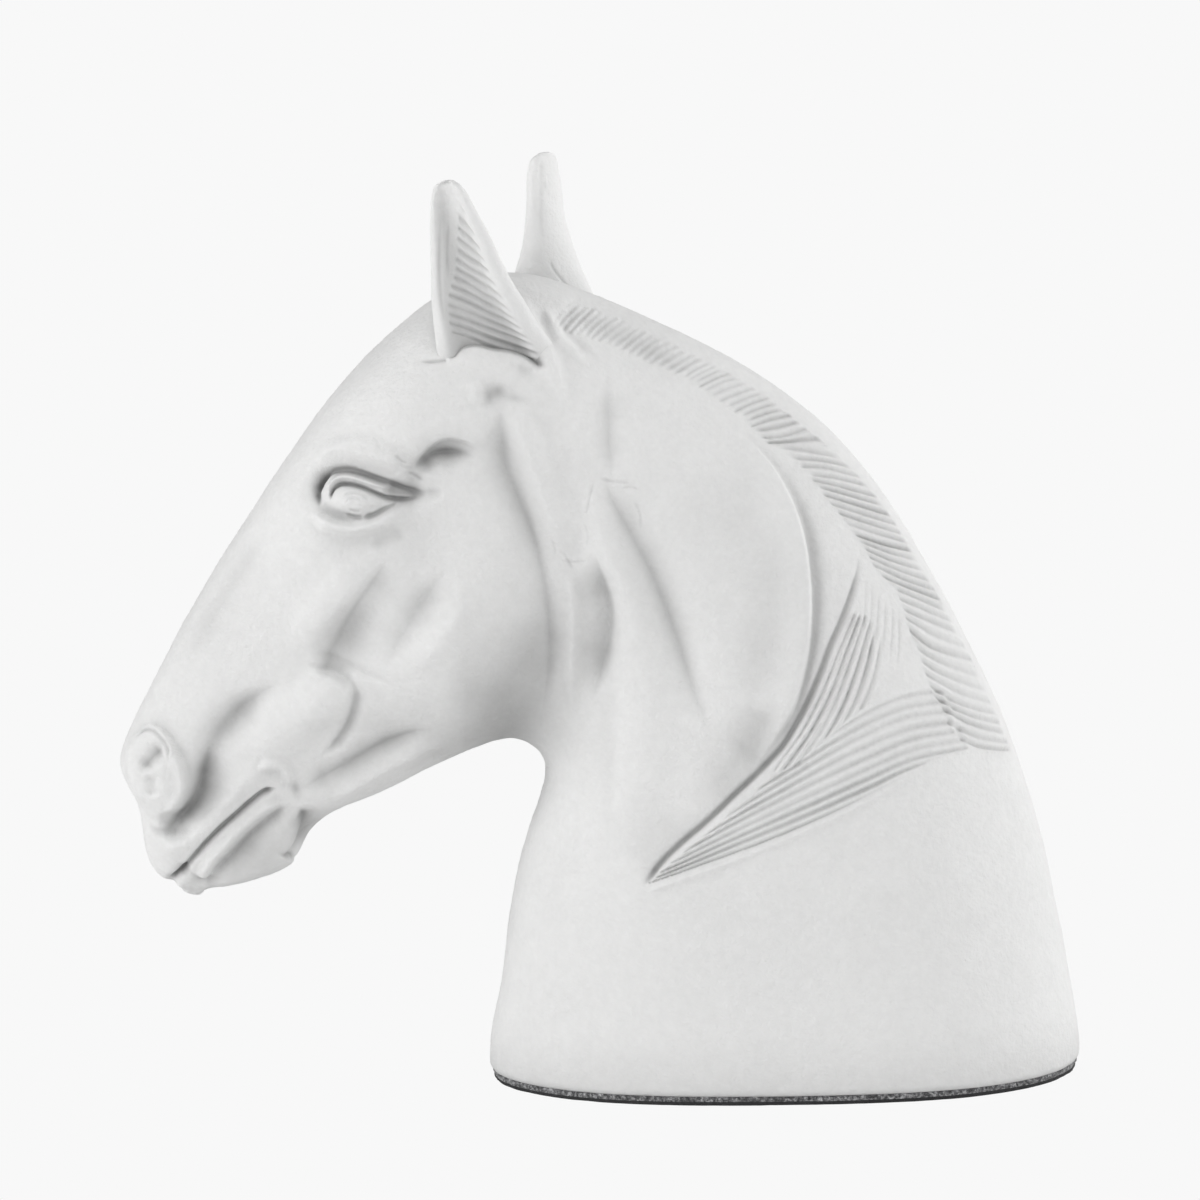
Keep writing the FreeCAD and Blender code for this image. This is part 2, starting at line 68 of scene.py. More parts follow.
# Sections from the foot to the muzzle, mm:
# crest x, z; throat-side x, z; half breadths at the stations.
SECTIONS = [
    (97.7, FOOT_Z, -97.9, FOOT_Z, (19.0, 38.0, 52.0, 54.5, 48.5, 34.0, 16.5)),
    (97.7, 9.8, -97.5, 13.2, (18.7, 37.5, 51.4, 53.8, 47.7, 33.3, 16.2)),
    (96.4, 20.7, -95.1, 25.0, (18.2, 36.8, 50.6, 53.1, 47.2, 32.9, 16.0)),
    (94.6, 31.7, -92.8, 36.4, (17.3, 35.5, 49.4, 52.3, 46.7, 32.6, 15.8)),
    (92.9, 42.4, -91.1, 48.9, (16.4, 34.1, 48.2, 51.4, 46.2, 32.3, 15.7)),
    (90.8, 54.0, -89.5, 58.7, (15.3, 32.5, 46.6, 50.4, 45.7, 32.1, 15.6)),
    (88.6, 66.4, -88.0, 66.4, (14.4, 30.9, 44.8, 49.2, 45.0, 31.8, 15.4)),
    (85.9, 78.7, -86.1, 74.2, (13.4, 29.0, 42.8, 47.6, 44.1, 31.3, 15.2)),
    (82.5, 91.1, -83.9, 81.2, (12.5, 27.0, 40.6, 45.8, 43.0, 30.8, 14.9)),
    (78.7, 104.0, -82.0, 86.7, (11.5, 25.0, 38.4, 44.1, 41.9, 30.2, 14.7)),
    (74.2, 117.1, -80.2, 91.3, (10.5, 22.8, 36.1, 42.4, 40.7, 29.4, 14.4)),
    (68.7, 130.1, -78.9, 95.1, (9.5, 20.7, 33.9, 40.6, 39.4, 28.6, 14.0)),
    (62.6, 143.4, -78.1, 97.6, (8.8, 19.1, 32.0, 39.0, 38.1, 27.8, 13.7)),
    (56.0, 156.9, -77.7, 99.2, (8.3, 17.6, 30.2, 37.5, 36.9, 27.0, 13.4)),
    (48.9, 170.4, -77.4, 100.5, (7.9, 16.4, 28.6, 36.1, 35.7, 26.3, 13.1)),
    (41.4, 183.6, -77.3, 101.8, (7.6, 15.5, 27.5, 35.1, 34.6, 25.5, 12.8)),
    (33.1, 196.3, -77.2, 103.3, (7.4, 15.0, 26.9, 34.2, 33.5, 24.7, 12.6)),
    (23.8, 208.2, -77.2, 104.7, (7.3, 14.5, 26.3, 33.5, 32.5, 23.9, 12.3)),
    (13.2, 219.0, -77.5, 106.1, (7.2, 14.2, 26.0, 33.0, 31.7, 23.2, 12.1)),
    (1.5, 228.5, -78.0, 107.5, (7.2, 14.2, 26.1, 33.0, 31.1, 22.7, 11.9)),
    (-11.1, 236.9, -78.7, 108.8, (7.3, 14.4, 26.4, 33.0, 30.6, 22.4, 11.7)),
    (-24.2, 244.3, -79.7, 110.1, (7.5, 14.8, 26.8, 33.0, 30.2, 22.1, 11.6)),
    (-37.6, 251.0, -81.1, 111.3, (7.8, 15.5, 27.3, 32.9, 29.8, 21.8, 11.4)),
    (-51.1, 257.3, -83.0, 112.6, (8.6, 17.2, 28.1, 32.6, 29.5, 21.5, 11.0)),
    (-64.8, 263.1, -84.9, 113.4, (9.9, 19.4, 29.2, 32.6, 29.6, 21.6, 11.0)),
    (-79.0, 267.3, -87.0, 114.0, (12.0, 22.3, 30.8, 32.8, 29.8, 21.8, 11.0)),
    (-93.7, 266.9, -89.4, 114.1, (14.5, 25.2, 32.4, 33.3, 30.3, 22.4, 11.0)),
    (-107.3, 261.3, -91.7, 113.8, (16.7, 27.7, 33.8, 33.9, 30.9, 23.0, 11.0)),
    (-119.3, 252.9, -94.2, 113.3, (18.5, 29.6, 35.2, 34.5, 31.3, 23.0, 11.0)),
    (-130.4, 243.2, -96.7, 112.5, (19.9, 30.9, 36.4, 35.0, 31.5, 23.0, 11.0)),
    (-140.6, 232.7, -99.3, 111.6, (20.0, 31.0, 36.4, 34.8, 31.3, 22.8, 10.9)),
    (-149.9, 221.6, -102.1, 110.6, (20.0, 30.7, 35.9, 34.1, 30.6, 22.0, 10.7)),
    (-158.5, 210.0, -105.1, 109.3, (19.7, 30.0, 34.9, 32.9, 29.5, 21.1, 10.4)),
    (-166.8, 198.3, -108.3, 108.0, (17.6, 26.5, 31.2, 30.5, 27.6, 20.0, 9.9)),
    (-174.9, 186.6, -111.8, 106.4, (14.6, 22.1, 26.7, 27.4, 25.2, 18.7, 9.3)),
    (-182.7, 175.2, -116.1, 104.4, (12.7, 19.4, 23.8, 24.8, 22.8, 17.3, 8.8)),
    (-189.9, 163.7, -121.2, 102.0, (11.2, 17.4, 21.6, 22.3, 20.2, 15.6, 8.3)),
    (-196.6, 152.3, -126.8, 99.3, (10.4, 16.4, 20.4, 20.6, 18.3, 14.4, 8.0)),
    (-202.8, 141.1, -133.7, 96.2, (10.1, 16.1, 19.7, 19.3, 16.8, 13.4, 7.7)),
    (-208.8, 130.0, -141.2, 93.5, (10.2, 16.3, 19.7, 19.0, 16.1, 12.7, 7.3)),
    (-214.4, 119.1, -149.1, 89.7, (11.0, 17.5, 20.5, 19.0, 15.8, 12.3, 7.0)),
    (-217.2, 107.6, -155.6, 82.6, (10.5, 17.2, 20.5, 18.6, 15.3, 11.8, 6.6)),
    (-212.4, 96.2, -159.8, 75.4, (9.1, 15.4, 18.9, 17.8, 14.9, 11.5, 6.4)),
    (-210.6, 84.6, -167.7, 70.6, (8.0, 13.8, 17.2, 16.4, 13.8, 10.6, 5.6)),
    (-208.0, 74.3, -179.9, 67.5, (5.9, 10.7, 14.0, 13.8, 11.8, 9.3, 4.8)),
    (-199.5, 67.7, -191.3, 65.1, (3.0, 6.0, 8.6, 9.0, 8.0, 6.0, 3.0)),
]

# ------------------------------------------------------------ relief tables, mm
# Each entry names a tool of Relief, then gives its arguments in order. Points lie in the
# side view. A flat list runs x, z, x, z; rows of more columns add factors.

# Front edge of the mane's lower lock: four upper points, then the rest
LOCK_TOP = [(27.23, 176.76), (26.0, 169.7), (23.46, 162.42), (20.27, 155.15)]
LOCK_EDGE = [
    (16.47, 147.54), (13.0, 139.23), (9.22, 131.2), (5.15, 123.77), (0.78, 116.97),
    (-3.93, 112.05), (-9.99, 106.47), (-16.33, 100.85), (-24.69, 93.26), (-34.04, 85.57),
    (-40.75, 79.07), (-46.82, 70.93)]
# Width and height factors along both
LOCK_TAPER = [(0.55, 0.6), (0.61, 0.66), (0.68, 0.71), (0.74, 0.77), (0.81, 0.83),
              (0.87, 0.89), (0.94, 0.94)] + [(1.0, 1.0)] * 9
# Fine upright lines between the locks
COMB_LINES = [
    [28.92, 169.39, 28.06, 157.56, 26.8, 145.22],
    [30.8, 167.0, 30.05, 155.53, 28.77, 143.52],
    [33.06, 164.59, 32.21, 153.48, 30.72, 141.8],
    [35.34, 162.19, 34.51, 151.41, 32.99, 140.05],
    [37.63, 159.77, 36.98, 149.31, 35.59, 138.26],
    [39.58, 157.39, 39.25, 147.21, 38.19, 136.46]]

RELIEF = [
    # side of the head, lower rear and middle
    ("blob", (-119.1, 227.39), (-104.69, 233.56), 10.528, 2.4),
    ("blob", (-96.5, 162.02), (-95.89, 131.53), 17.108, 3.4, 2.6),
    ("stroke", [-82.85, 201.02, -78.82, 184.14, -76.15, 168.13, -75.19, 150.13, -77.13, 131.84,
                -79.28, 120.05], 16.45, -5.5, (0.6, 0.4), 1.4, 3.948),
    ("stroke", [-71.43, 197.75, -67.41, 177.57, -65.45, 157.43, -65.59, 136.95, -68.14, 117.0],
     9.87, -3.0, (0.4, 0.3)),
    ("stroke", [-88.85, 231.2, -88.37, 224.73, -88.14, 217.5, -87.08, 209.26, -84.13, 200.32,
                -80.54, 190.92, -77.62, 181.39, -75.44, 169.93], 5.593, -2.3, (0.3, 0.5), 1.5, 3.29),
    ("stroke", [-105.62, 179.4, -112.19, 169.34, -119.06, 159.16, -124.66, 149.71,
                -130.03, 140.58], 6.58, -2.7, (0.4, 0.4), 1.5),
    ("stroke", [-98.95, 167.52, -105.06, 160.06, -111.45, 151.43, -118.85, 142.1],
     6.251, 2.0, (0.35, 0.35), 1.6),
    ("blob", (-144.73, 165.37), (-133.26, 178.08), 7.896, 2.4, 2.6),
    ("blob", (-150.78, 157.12), (-147.25, 149.43), 6.58, 1.2, 2.4),
    ("stroke", [(-125.44, 180.97, 0.5, 0.45), (-130.92, 172.24, 0.7, 0.6),
                (-137.05, 163.76, 0.9, 0.8), (-142.23, 154.88, 1.1, 1.0),
                (-145.94, 147.04, 1.2, 1.0), (-148.14, 141.36, 1.2, 0.9)],
     2.961, -3.9, (0.25, 0.12), 1.7, 11.844),
    ("stroke", [-154.05, 144.49, -148.83, 143.22, -143.62, 141.93, -139.8, 139.22,
                -138.09, 134.9], 1.316, -1.6, (0.35, 0.3), 2.0, 2.303),
    ("blob", (-148.74, 132.64), (-139.28, 135.77), 8.883, 3.3, 2.6),
    ("blob", (-159.97, 123.41), (-171.0, 114.72), 8.883, 2.7, 2.5),
    ("stroke", [-139.81, 139.85, -138.4, 134.93, -139.33, 129.2, -141.98, 122.22,
                -146.12, 115.87, -150.81, 111.77], 1.481, -1.9, (0.25, 0.25), 2.0, 2.303),
    ("stroke", [-154.12, 141.83, -148.14, 140.73, -142.93, 138.48, -140.85, 134.3], 1.053, 0.8),
    # upper front, x -153 to -110, z 184 to 218
    ("plate", [(-151.76, 199.12, 1.4), (-150.55, 207.11, 1.0), (-144.49, 212.37, 1.0),
               (-136.57, 212.86, 1.0), (-127.31, 210.53, 1.1), (-117.39, 206.11, 1.5),
               (-109.94, 201.49, 1.7), (-117.76, 197.09, 1.4), (-125.0, 194.98, 1.3),
               (-133.4, 193.25, 1.3), (-143.03, 193.29, 1.3)], -2.6, 2.632),
    ("blob", (-137.03, 199.1), (-128.9, 197.74), 4.935, 4.2, 2.6),
    ("stroke", [-148.08, 196.99, -149.55, 201.93, -148.1, 206.24, -144.75, 209.03,
                -140.16, 209.59, -135.66, 208.67, -130.92, 206.9, -125.58, 204.98,
                -120.12, 202.89, -113.39, 200.83], 1.119, -2.3, (0.1, 0.25)),
    ("stroke", [-144.7, 200.93, -144.64, 204.22, -142.38, 206.66, -138.66, 207.25,
                -134.23, 206.18, -128.91, 204.18, -124.28, 202.17], 0.823, 1.7, (0.15, 0.3)),
    ("stroke", [-143.85, 198.99, -144.06, 202.23, -141.8, 204.5, -138.07, 204.62,
                -133.73, 203.43, -129.53, 201.47, -125.65, 199.7, -120.29, 198.93,
                -114.37, 199.87], 0.724, -2.2, (0.1, 0.2)),
    ("stroke", [-128.25, 202.83, -123.6, 201.81, -117.47, 201.38, -112.47, 200.52], 2.632, -3.0),
    ("stroke", [-149.39, 201.61, -148.67, 205.86, -145.27, 209.46], 1.481, -1.6, (0.3, 0.4)),
    ("stroke", [-134.04, 193.88, -130.19, 194.55, -126.3, 196.43, -121.66, 198.38],
     0.855, -1.9, (0.2, 0.2)),
    ("stroke", [-139.81, 195.51, -136.61, 194.22, -132.76, 193.86], 0.526, -0.9),
    ("stroke", [-150.59, 195.61, -145.92, 193.25, -140.47, 191.43, -134.38, 191.27,
                -128.57, 193.05, -123.69, 196.12, -117.64, 198.59],
     3.29, 3.6, (0.18, 0.22), 1.8, 1.974),
    ("stroke", [-140.31, 200.32, -138.73, 201.76, -135.87, 202.22, -132.98, 201.05,
                -131.4, 199.23], 0.395, -0.6, (0.2, 0.2)),
    ("stroke", [-138.99, 198.45, -137.67, 200.21, -135.46, 200.51, -133.58, 199.36],
     0.329, -0.5, (0.2, 0.2)),
    ("stroke", [-138.09, 197.16, -136.54, 196.17, -134.3, 196.14], 0.395, -0.5, (0.2, 0.2)),
    ("blob", (-137.98, 199.73), (-136.71, 199.74), 0.987, 0.5),
    ("stroke", [-149.36, 212.21, -143.1, 215.87, -136.4, 217.67, -130.63, 216.9,
                -125.06, 214.42], 1.645, 1.0),
    ("stroke", [-123.14, 214.4, -120.98, 212.41, -118.4, 210.98], 0.526, -0.5, (0.25, 0.25)),
    ("stroke", [-122.3, 211.46, -119.72, 210.04, -116.71, 208.79], 0.526, -0.5, (0.25, 0.25)),
    ("stroke", [-119.4, 208.65, -116.39, 207.09, -113.27, 205.09], 0.658, -0.7, (0.25, 0.25)),
    ("stroke", [-132.43, 184.86, -125.92, 186.34, -119.67, 190.19], 2.632, -0.7),
    # upper middle, below the ears
    ("step", [-117.39, 210.21, -112.82, 215.31, -107.34, 218.4, -101.22, 217.85, -94.19, 213.97],
     2.0, 0.855, 7.896, (0.2, 0.25)),
    ("stroke", [-118.06, 207.52, -114.01, 211.59, -109.49, 214.05, -105.0, 214.36,
                -100.59, 213.81, -96.2, 211.79], 3.619, -4.0, (0.4, 0.45), 1.5, 2.632),
    ("stroke", [-109.52, 212.41, -114.72, 208.66, -118.75, 202.7], 2.961, -1.6),
    ("blob", (-89.07, 233.48), (-85.88, 233.96), 2.632, -1.5, 1.5),
    ("blob", (-92.07, 231.65), (-92.88, 228.14), 2.303, -1.3, 1.5),
    ("blob", (-83.43, 230.96), (-79.62, 230.13), 1.645, -0.7, 1.5),
    ("stroke", [-94.3, 237.08, -96.34, 233.34, -95.82, 228.25], 1.974, 0.8),
    # neck
    ("stroke", [-82.16, 230.9, -80.13, 217.44, -75.59, 201.2, -70.96, 187.98, -68.26, 172.46],
     4.606, 2.2, (0.25, 0.3)),
    ("stroke", [-68.19, 174.16, -67.3, 160.83, -67.83, 143.88, -68.21, 125.34], 2.632, 1.6),
    ("stroke", [-60.11, 181.66, -56.55, 170.0, -54.59, 159.99, -56.18, 148.66, -59.34, 138.82,
                -62.77, 129.26], 6.909, -4.4, (0.3, 0.35), 1.5, 2.961),
    ("stroke", [-60.86, 204.36, -55.48, 187.55, -50.35, 169.71, -47.07, 150.02, -47.12, 125.21,
                -50.66, 99.27, -55.43, 76.65], 6.58, 2.3, (0.2, 0.4), 2.4, 9.87),
    ("stroke", [-56.79, 209.35, -53.49, 197.98, -47.62, 186.47, -42.05, 175.55, -37.45, 163.96,
                -33.29, 151.53, -29.38, 138.93, -25.4, 127.04, -22.09, 116.18],
     5.593, -3.4, (0.25, 0.4), 1.3, 6.58),
    ("stroke", [-54.17, 239.53, -53.72, 225.71, -53.44, 213.05, -52.79, 200.22],
     4.277, -1.1, (0.4, 0.4), 1.4, 3.619),
    ("stroke", [-47.34, 228.29, -45.94, 215.61, -42.87, 199.83], 5.264, 0.9, (0.35, 0.35), 1.5),
    ("blob", (-25.59, 163.83), (-18.16, 131.39), 11.186, 1.4),
    ("stroke", [-9.91, 109.02, -2.78, 118.34, 2.83, 127.62, 6.21, 137.56, 8.35, 147.91,
                9.17, 158.96, 9.01, 169.1, 7.93, 179.19, 5.49, 188.35, 2.19, 196.67,
                -1.95, 204.52, -7.42, 211.53, -14.67, 218.25],
     1.481, 3.0, (0.25, 0.3), 2.0, 8.883),
    ("stroke", [-4.54, 113.02, 1.55, 122.32, 5.88, 131.62, 9.01, 140.96, 11.22, 150.03,
                12.51, 159.47, 12.44, 168.97, 11.41, 179.13, 9.31, 188.01, 5.87, 196.62,
                1.89, 204.38], 2.303, -0.9),
    ("stroke", [-0.45, 130.86, -6.37, 120.01, -14.47, 109.72], 7.238, -1.6, (0.35, 0.3)),
    ("stroke", [-69.83, 256.94, -58.55, 252.33, -47.32, 246.61, -36.23, 240.84, -23.67, 232.98],
     3.619, -1.6, (0.1, 0.4)),
    # muzzle and lower front
    ("stroke", [-161.55, 138.26, -169.03, 133.99, -175.22, 129.32, -180.63, 123.89,
                -185.31, 117.78, -187.94, 109.66, -189.97, 101.61, -193.29, 95.23,
                -199.54, 89.79, -204.75, 87.2], 3.948, -4.2, (0.28, 0.12), 1.7, 5.922),
    ("stroke", [-186.29, 117.91, -188.28, 109.34, -190.31, 100.96, -194.39, 94.89,
                -200.56, 89.98, -205.09, 87.17], 2.632, -2.2, (0.3, 0.12), 1.7, 3.948),
    ("plate", [(-213.04, 114.98, 0.8), (-210.07, 119.97, 0.6), (-205.78, 122.98, 0.6),
               (-201.33, 121.37, 0.6), (-198.24, 116.04, 0.8), (-195.59, 109.7, 0.8),
               (-194.57, 102.77, 0.8), (-197.45, 96.3, 0.8), (-202.97, 93.65, 1.0),
               (-207.3, 97.22, 1.2), (-210.76, 101.3, 1.0), (-212.83, 107.74, 0.8)], 2.2, 2.961),
    ("stroke", [-198.55, 116.67, -196.19, 110.39, -195.54, 103.88, -197.62, 98.79,
                -201.71, 94.66], 2.303, 1.5, (0.2, 0.2)),
    ("stroke", [-210.19, 119.0, -207.65, 122.0, -204.4, 121.96, -201.94, 119.76,
                -200.13, 116.35, -200.03, 111.99], 0.658, -1.0, (0.2, 0.25)),
    ("stroke", [-208.81, 108.59, -207.19, 111.43, -204.92, 113.73, -202.11, 116.63,
                -200.76, 117.92], 2.303, -2.6, (0.3, 0.3), 1.6),
    ("stroke", [-206.0, 109.01, -205.52, 104.57, -205.42, 100.19], 1.974, -1.1),
    ("stroke", [-208.09, 90.96, -204.42, 87.56, -196.98, 87.48, -190.76, 90.93],
     1.481, -1.0, (0.25, 0.3)),
    ("stroke", [-204.45, 80.78, -194.85, 86.39, -186.2, 94.37, -178.1, 102.53, -170.65, 108.14,
                -163.36, 109.82], 4.277, 2.4, (0.25, 0.3)),
    ("stroke", [-172.55, 109.12, -166.64, 110.06, -162.78, 108.04, -161.29, 103.53,
                -162.04, 99.84], 1.81, 1.4, (0.25, 0.25)),
    ("blob", (-159.03, 100.43), (-157.52, 97.28), 2.303, -1.8, 1.5),
    ("stroke", [-165.25, 101.86, -169.81, 100.61, -174.18, 97.46, -179.26, 93.23,
                -184.31, 89.01, -189.39, 83.95, -193.92, 78.63, -198.1, 73.82, -201.53, 71.21],
     0.987, -2.3, (0.08, 0.0), 2.2),
    ("stroke", [-194.66, 77.17, -198.09, 73.55, -200.87, 70.06], 1.974, -1.6, (0.3, 0.0)),
    ("stroke", [-163.43, 97.82, -170.25, 94.64, -176.34, 89.75, -182.06, 84.17, -187.48, 78.14,
                -191.09, 71.02], 2.139, 2.3, (0.15, 0.05), 2.0, 2.632),
    ("stroke", [-161.14, 96.46, -167.74, 91.0, -174.12, 86.16, -179.99, 79.72, -185.67, 74.29,
                -189.21, 69.52], 2.632, -2.7, (0.2, 0.0), 1.5),
    ("blob", (-169.91, 81.21), (-164.99, 86.69), 4.277, 1.6),
    ("stroke", [-158.5, 95.36, -156.04, 87.92, -156.96, 80.61, -161.98, 74.51],
     3.619, -3.6, (0.25, 0.05), 1.5),
    ("stroke", [-158.43, 99.04, -151.75, 102.9, -144.47, 106.41, -137.13, 110.78,
                -128.54, 115.61, -120.37, 119.53, -111.12, 122.04],
     4.277, -3.6, (0.2, 0.4), 1.5),
    ("stroke", [-148.91, 94.81, -140.89, 101.2, -129.83, 107.41, -118.12, 113.59,
                -108.1, 116.35], 2.961, 1.6, (0.25, 0.3)),
    ("stroke", [-163.76, 191.99, -171.99, 180.05, -179.66, 168.29, -187.6, 154.94,
                -195.16, 142.35], 3.948, -1.0),
    # broad faint hollows low on the bust
    ("stroke", [-64.57, 88.61, -73.13, 71.62, -80.2, 51.05], 9.87, -0.5, (0.4, 0.4), 1.4),
    ("stroke", [-43.98, 80.3, -27.78, 67.67, -5.35, 57.73], 11.186, -0.4, (0.4, 0.4), 1.4),
    # thin branching lines on the upper neck
    *[("stroke", line, width, height, (0.25, 0.25)) for line, width, height in (
        ([-58.93, 203.65, -60.37, 197.92, -61.8, 192.15], 0.395, -0.3),
        ([-57.6, 204.24, -52.42, 202.94, -46.06, 202.19], 0.428, -0.35),
        ([-50.53, 200.79, -46.71, 200.95, -44.15, 199.89], 0.362, -0.3),
        ([-70.46, 181.82, -68.05, 177.59, -66.28, 173.8], 0.395, -0.3),
        ([-71.85, 179.03, -67.44, 176.88, -60.9, 177.54], 0.362, -0.25),
        ([-73.91, 186.31, -72.37, 183.23, -71.85, 179.03], 0.362, -0.25),
        ([-46.74, 196.79, -44.25, 192.84, -44.36, 187.01], 0.395, -0.25),
        ([-62.8, 190.86, -61.29, 186.27, -62.07, 181.61], 0.362, -0.2))],
    # edges of the lower lock
    ("stroke", LOCK_EDGE, 5.593, -1.15, (0.4, 0.08), 1.5, 1.645),
    ("stroke", [(*point, *taper) for point, taper in zip(LOCK_TOP + LOCK_EDGE, LOCK_TAPER)],
     0.987, -1.2, (0.1, 0.06)),
    ("step", [28.21, 176.04, 26.94, 168.97, 24.36, 161.69, 21.18, 154.43, 17.38, 146.84,
              13.91, 138.53, 10.14, 130.51, 6.07, 123.09, 1.69, 116.29, -3.01, 111.37,
              -9.04, 105.8, -15.37, 100.19, -23.7, 92.62, -33.01, 84.96, -39.71, 78.47,
              -45.85, 70.32], 1.0, 0.526, 8.554, (0.15, 0.1)),
    ("stroke", [-46.86, 68.83, -37.97, 72.63, -27.55, 76.22, -11.26, 82.1, 5.09, 88.38,
                21.51, 95.07, 31.43, 99.61, 42.14, 104.82, 53.21, 107.12, 63.37, 106.96],
     0.855, 0.45, (0.06, 0.4)),
    *[("stroke", line, 0.428, -0.28, (0.3, 0.4)) for line in COMB_LINES],
]

# Painted shade, darkening the colour: centre x, z; end of the major half axis x, z; minor half axis;
# amount; power
PAINTED_SHADE_SPOTS = [
    (-86.24, 125.49, -70.32, 133.24, 15.134, -0.3, 1.5),
    (-80.02, 139.77, -75.28, 159.06, 9.87, -0.2, 1.5),
    (-129.0, 124.37, -117.43, 127.0, 6.58, -0.12, 1.5),
    (-88.46, 232.48, -83.36, 233.51, 3.948, -0.12, 1.5),
    (-106.28, 215.25, -100.58, 216.14, 4.277, -0.26, 1.5),
    (-120.13, 202.38, -114.29, 201.46, 3.29, -0.12, 1.5),
    (-116.37, 208.76, -121.24, 214.05, 4.277, -0.08, 1.5),
    (-171.04, 82.46, -164.93, 87.34, 7.238, -0.16, 1.5),
    (-15.13, 54.62, 23.84, 56.91, 36.19, -0.03, 1.2),
    (-202.79, 114.09, -200.25, 110.43, 3.29, -0.08, 1.5),
    (-118.73, 211.67, -112.82, 208.63, 4.606, -0.1, 1.5),
    (-118.25, 183.57, -109.24, 185.98, 12.502, -0.09, 1.5),
    (-190.55, 151.57, -184.05, 164.78, 8.554, -0.05, 1.5),
    (-17.78, 190.37, -5.6, 187.73, 10.528, -0.06, 1.5),
]
# Painted shade streaks: points; half width; amount
PAINTED_SHADE_STREAKS = [
    ([-76.0, 116.02, -91.77, 118.25, -108.22, 113.83, -125.05, 104.83], 7.896, -0.16),
    ([-110.62, 135.94, -97.75, 135.23, -85.04, 128.4], 14.476, -0.14),
    ([-111.13, 121.66, -128.54, 115.61, -142.81, 107.4, -154.43, 101.65], 3.948, -0.2),
    ([-89.4, 233.17, -89.37, 220.82, -87.4, 209.27, -82.92, 197.65, -78.23, 182.42,
      -75.59, 166.28], 4.935, -0.2),
    ([-133.08, 167.51, -139.62, 155.09, -145.02, 144.36], 6.58, -0.17),
    ([-110.21, 172.07, -116.26, 163.92, -121.83, 155.09], 4.935, -0.1),
    ([-184.95, 120.17, -187.95, 110.78, -190.3, 101.63, -195.02, 96.16, -202.38, 91.29],
     4.277, -0.18),
    ([-164.49, 190.33, -177.24, 171.67, -187.59, 154.3, -193.81, 142.43], 5.922, -0.08),
    ([-170.57, 86.68, -177.99, 79.0, -187.14, 71.23], 3.948, -0.16),
    ([-158.46, 94.44, -155.55, 85.57, -159.07, 77.25], 4.277, -0.3),
    ([-194.68, 76.58, -198.46, 72.33], 2.632, -0.2),
    ([-61.56, 177.54, -58.85, 163.57, -60.3, 148.17, -63.28, 133.51], 6.251, -0.1),
    ([-55.0, 203.51, -47.06, 183.87, -38.43, 164.01, -31.28, 141.19], 5.922, -0.08),
    ([-54.28, 234.94, -53.98, 216.26, -53.05, 203.44], 3.29, -0.06),
    ([0.25, 133.99, -6.32, 122.86, -15.42, 111.0, -30.36, 97.8], 7.896, -0.17),
    ([-30.29, 99.71, -43.54, 88.38, -53.45, 78.37], 8.554, -0.08),
    ([-78.87, 163.19, -81.79, 149.66, -84.74, 135.14], 5.922, -0.05),
    ([-169.03, 133.99, -176.55, 128.99, -182.63, 122.33, -186.64, 115.09], 3.948, -0.16),
    ([-1.76, 194.21, -0.55, 169.12, -2.39, 143.67, -6.39, 119.06], 7.238, -0.08),
    ([-9.98, 163.21, -9.14, 143.95, -11.82, 124.9], 5.264, -0.04),
    ([-69.86, 259.21, -55.44, 253.14, -39.4, 244.98, -23.65, 233.6], 5.593, -0.07),
]
PAINTED_SHADES = ([("blob", spot[:2], spot[2:4], *spot[4:]) for spot in PAINTED_SHADE_SPOTS]
          + [("stroke", *streak, (0.35, 0.35), 1.5) for streak in PAINTED_SHADE_STREAKS])

# Round the root of the left ear, on the left side only
LEFT_ROOT = [
    ("plate", [(-106.19, 272.04, 1.0), (-106.91, 261.43, 1.2), (-105.89, 253.49, 1.0),
               (-104.23, 245.42, 0.8), (-101.0, 248.06, 0.9), (-95.8, 248.81, 0.9),
               (-90.36, 247.39, 0.9), (-84.88, 246.59, 1.0), (-79.7, 244.51, 1.0),
               (-75.1, 241.26, 1.2), (-76.97, 247.84, 1.5), (-81.3, 256.3, 1.5),
               (-86.25, 265.2, 1.5), (-94.45, 271.77, 1.5)], -5.2, 1.974),
    ("stroke", [-114.72, 243.3, -110.24, 243.2, -105.14, 243.84], 0.526, -0.8, (0.4, 0.1)),
    ("stroke", [-83.88, 263.36, -79.0, 253.59, -73.94, 243.83, -69.41, 233.26, -66.2, 224.69],
     3.29, 2.0, (0.2, 0.45)),
    ("stroke", [-73.82, 258.82, -69.69, 249.89, -64.55, 244.72, -59.37, 239.57],
     1.645, 1.3, (0.25, 0.4)),
    ("stroke", [-71.16, 260.44, -66.0, 250.68, -61.07, 245.61, -56.08, 240.59],
     1.645, -0.6, (0.25, 0.4)),
    ("stroke", [-85.32, 266.07, -79.66, 256.27, -73.68, 244.67, -68.74, 232.0],
     0.855, -0.5, (0.2, 0.4)),
    ("stroke", [-84.03, 242.16, -80.11, 240.44, -75.44, 240.66], 2.961, -0.9, (0.35, 0.35), 1.5),
    ("stroke", [-84.04, 266.79, -78.09, 265.04, -71.08, 263.31], 1.974, -0.9),
]

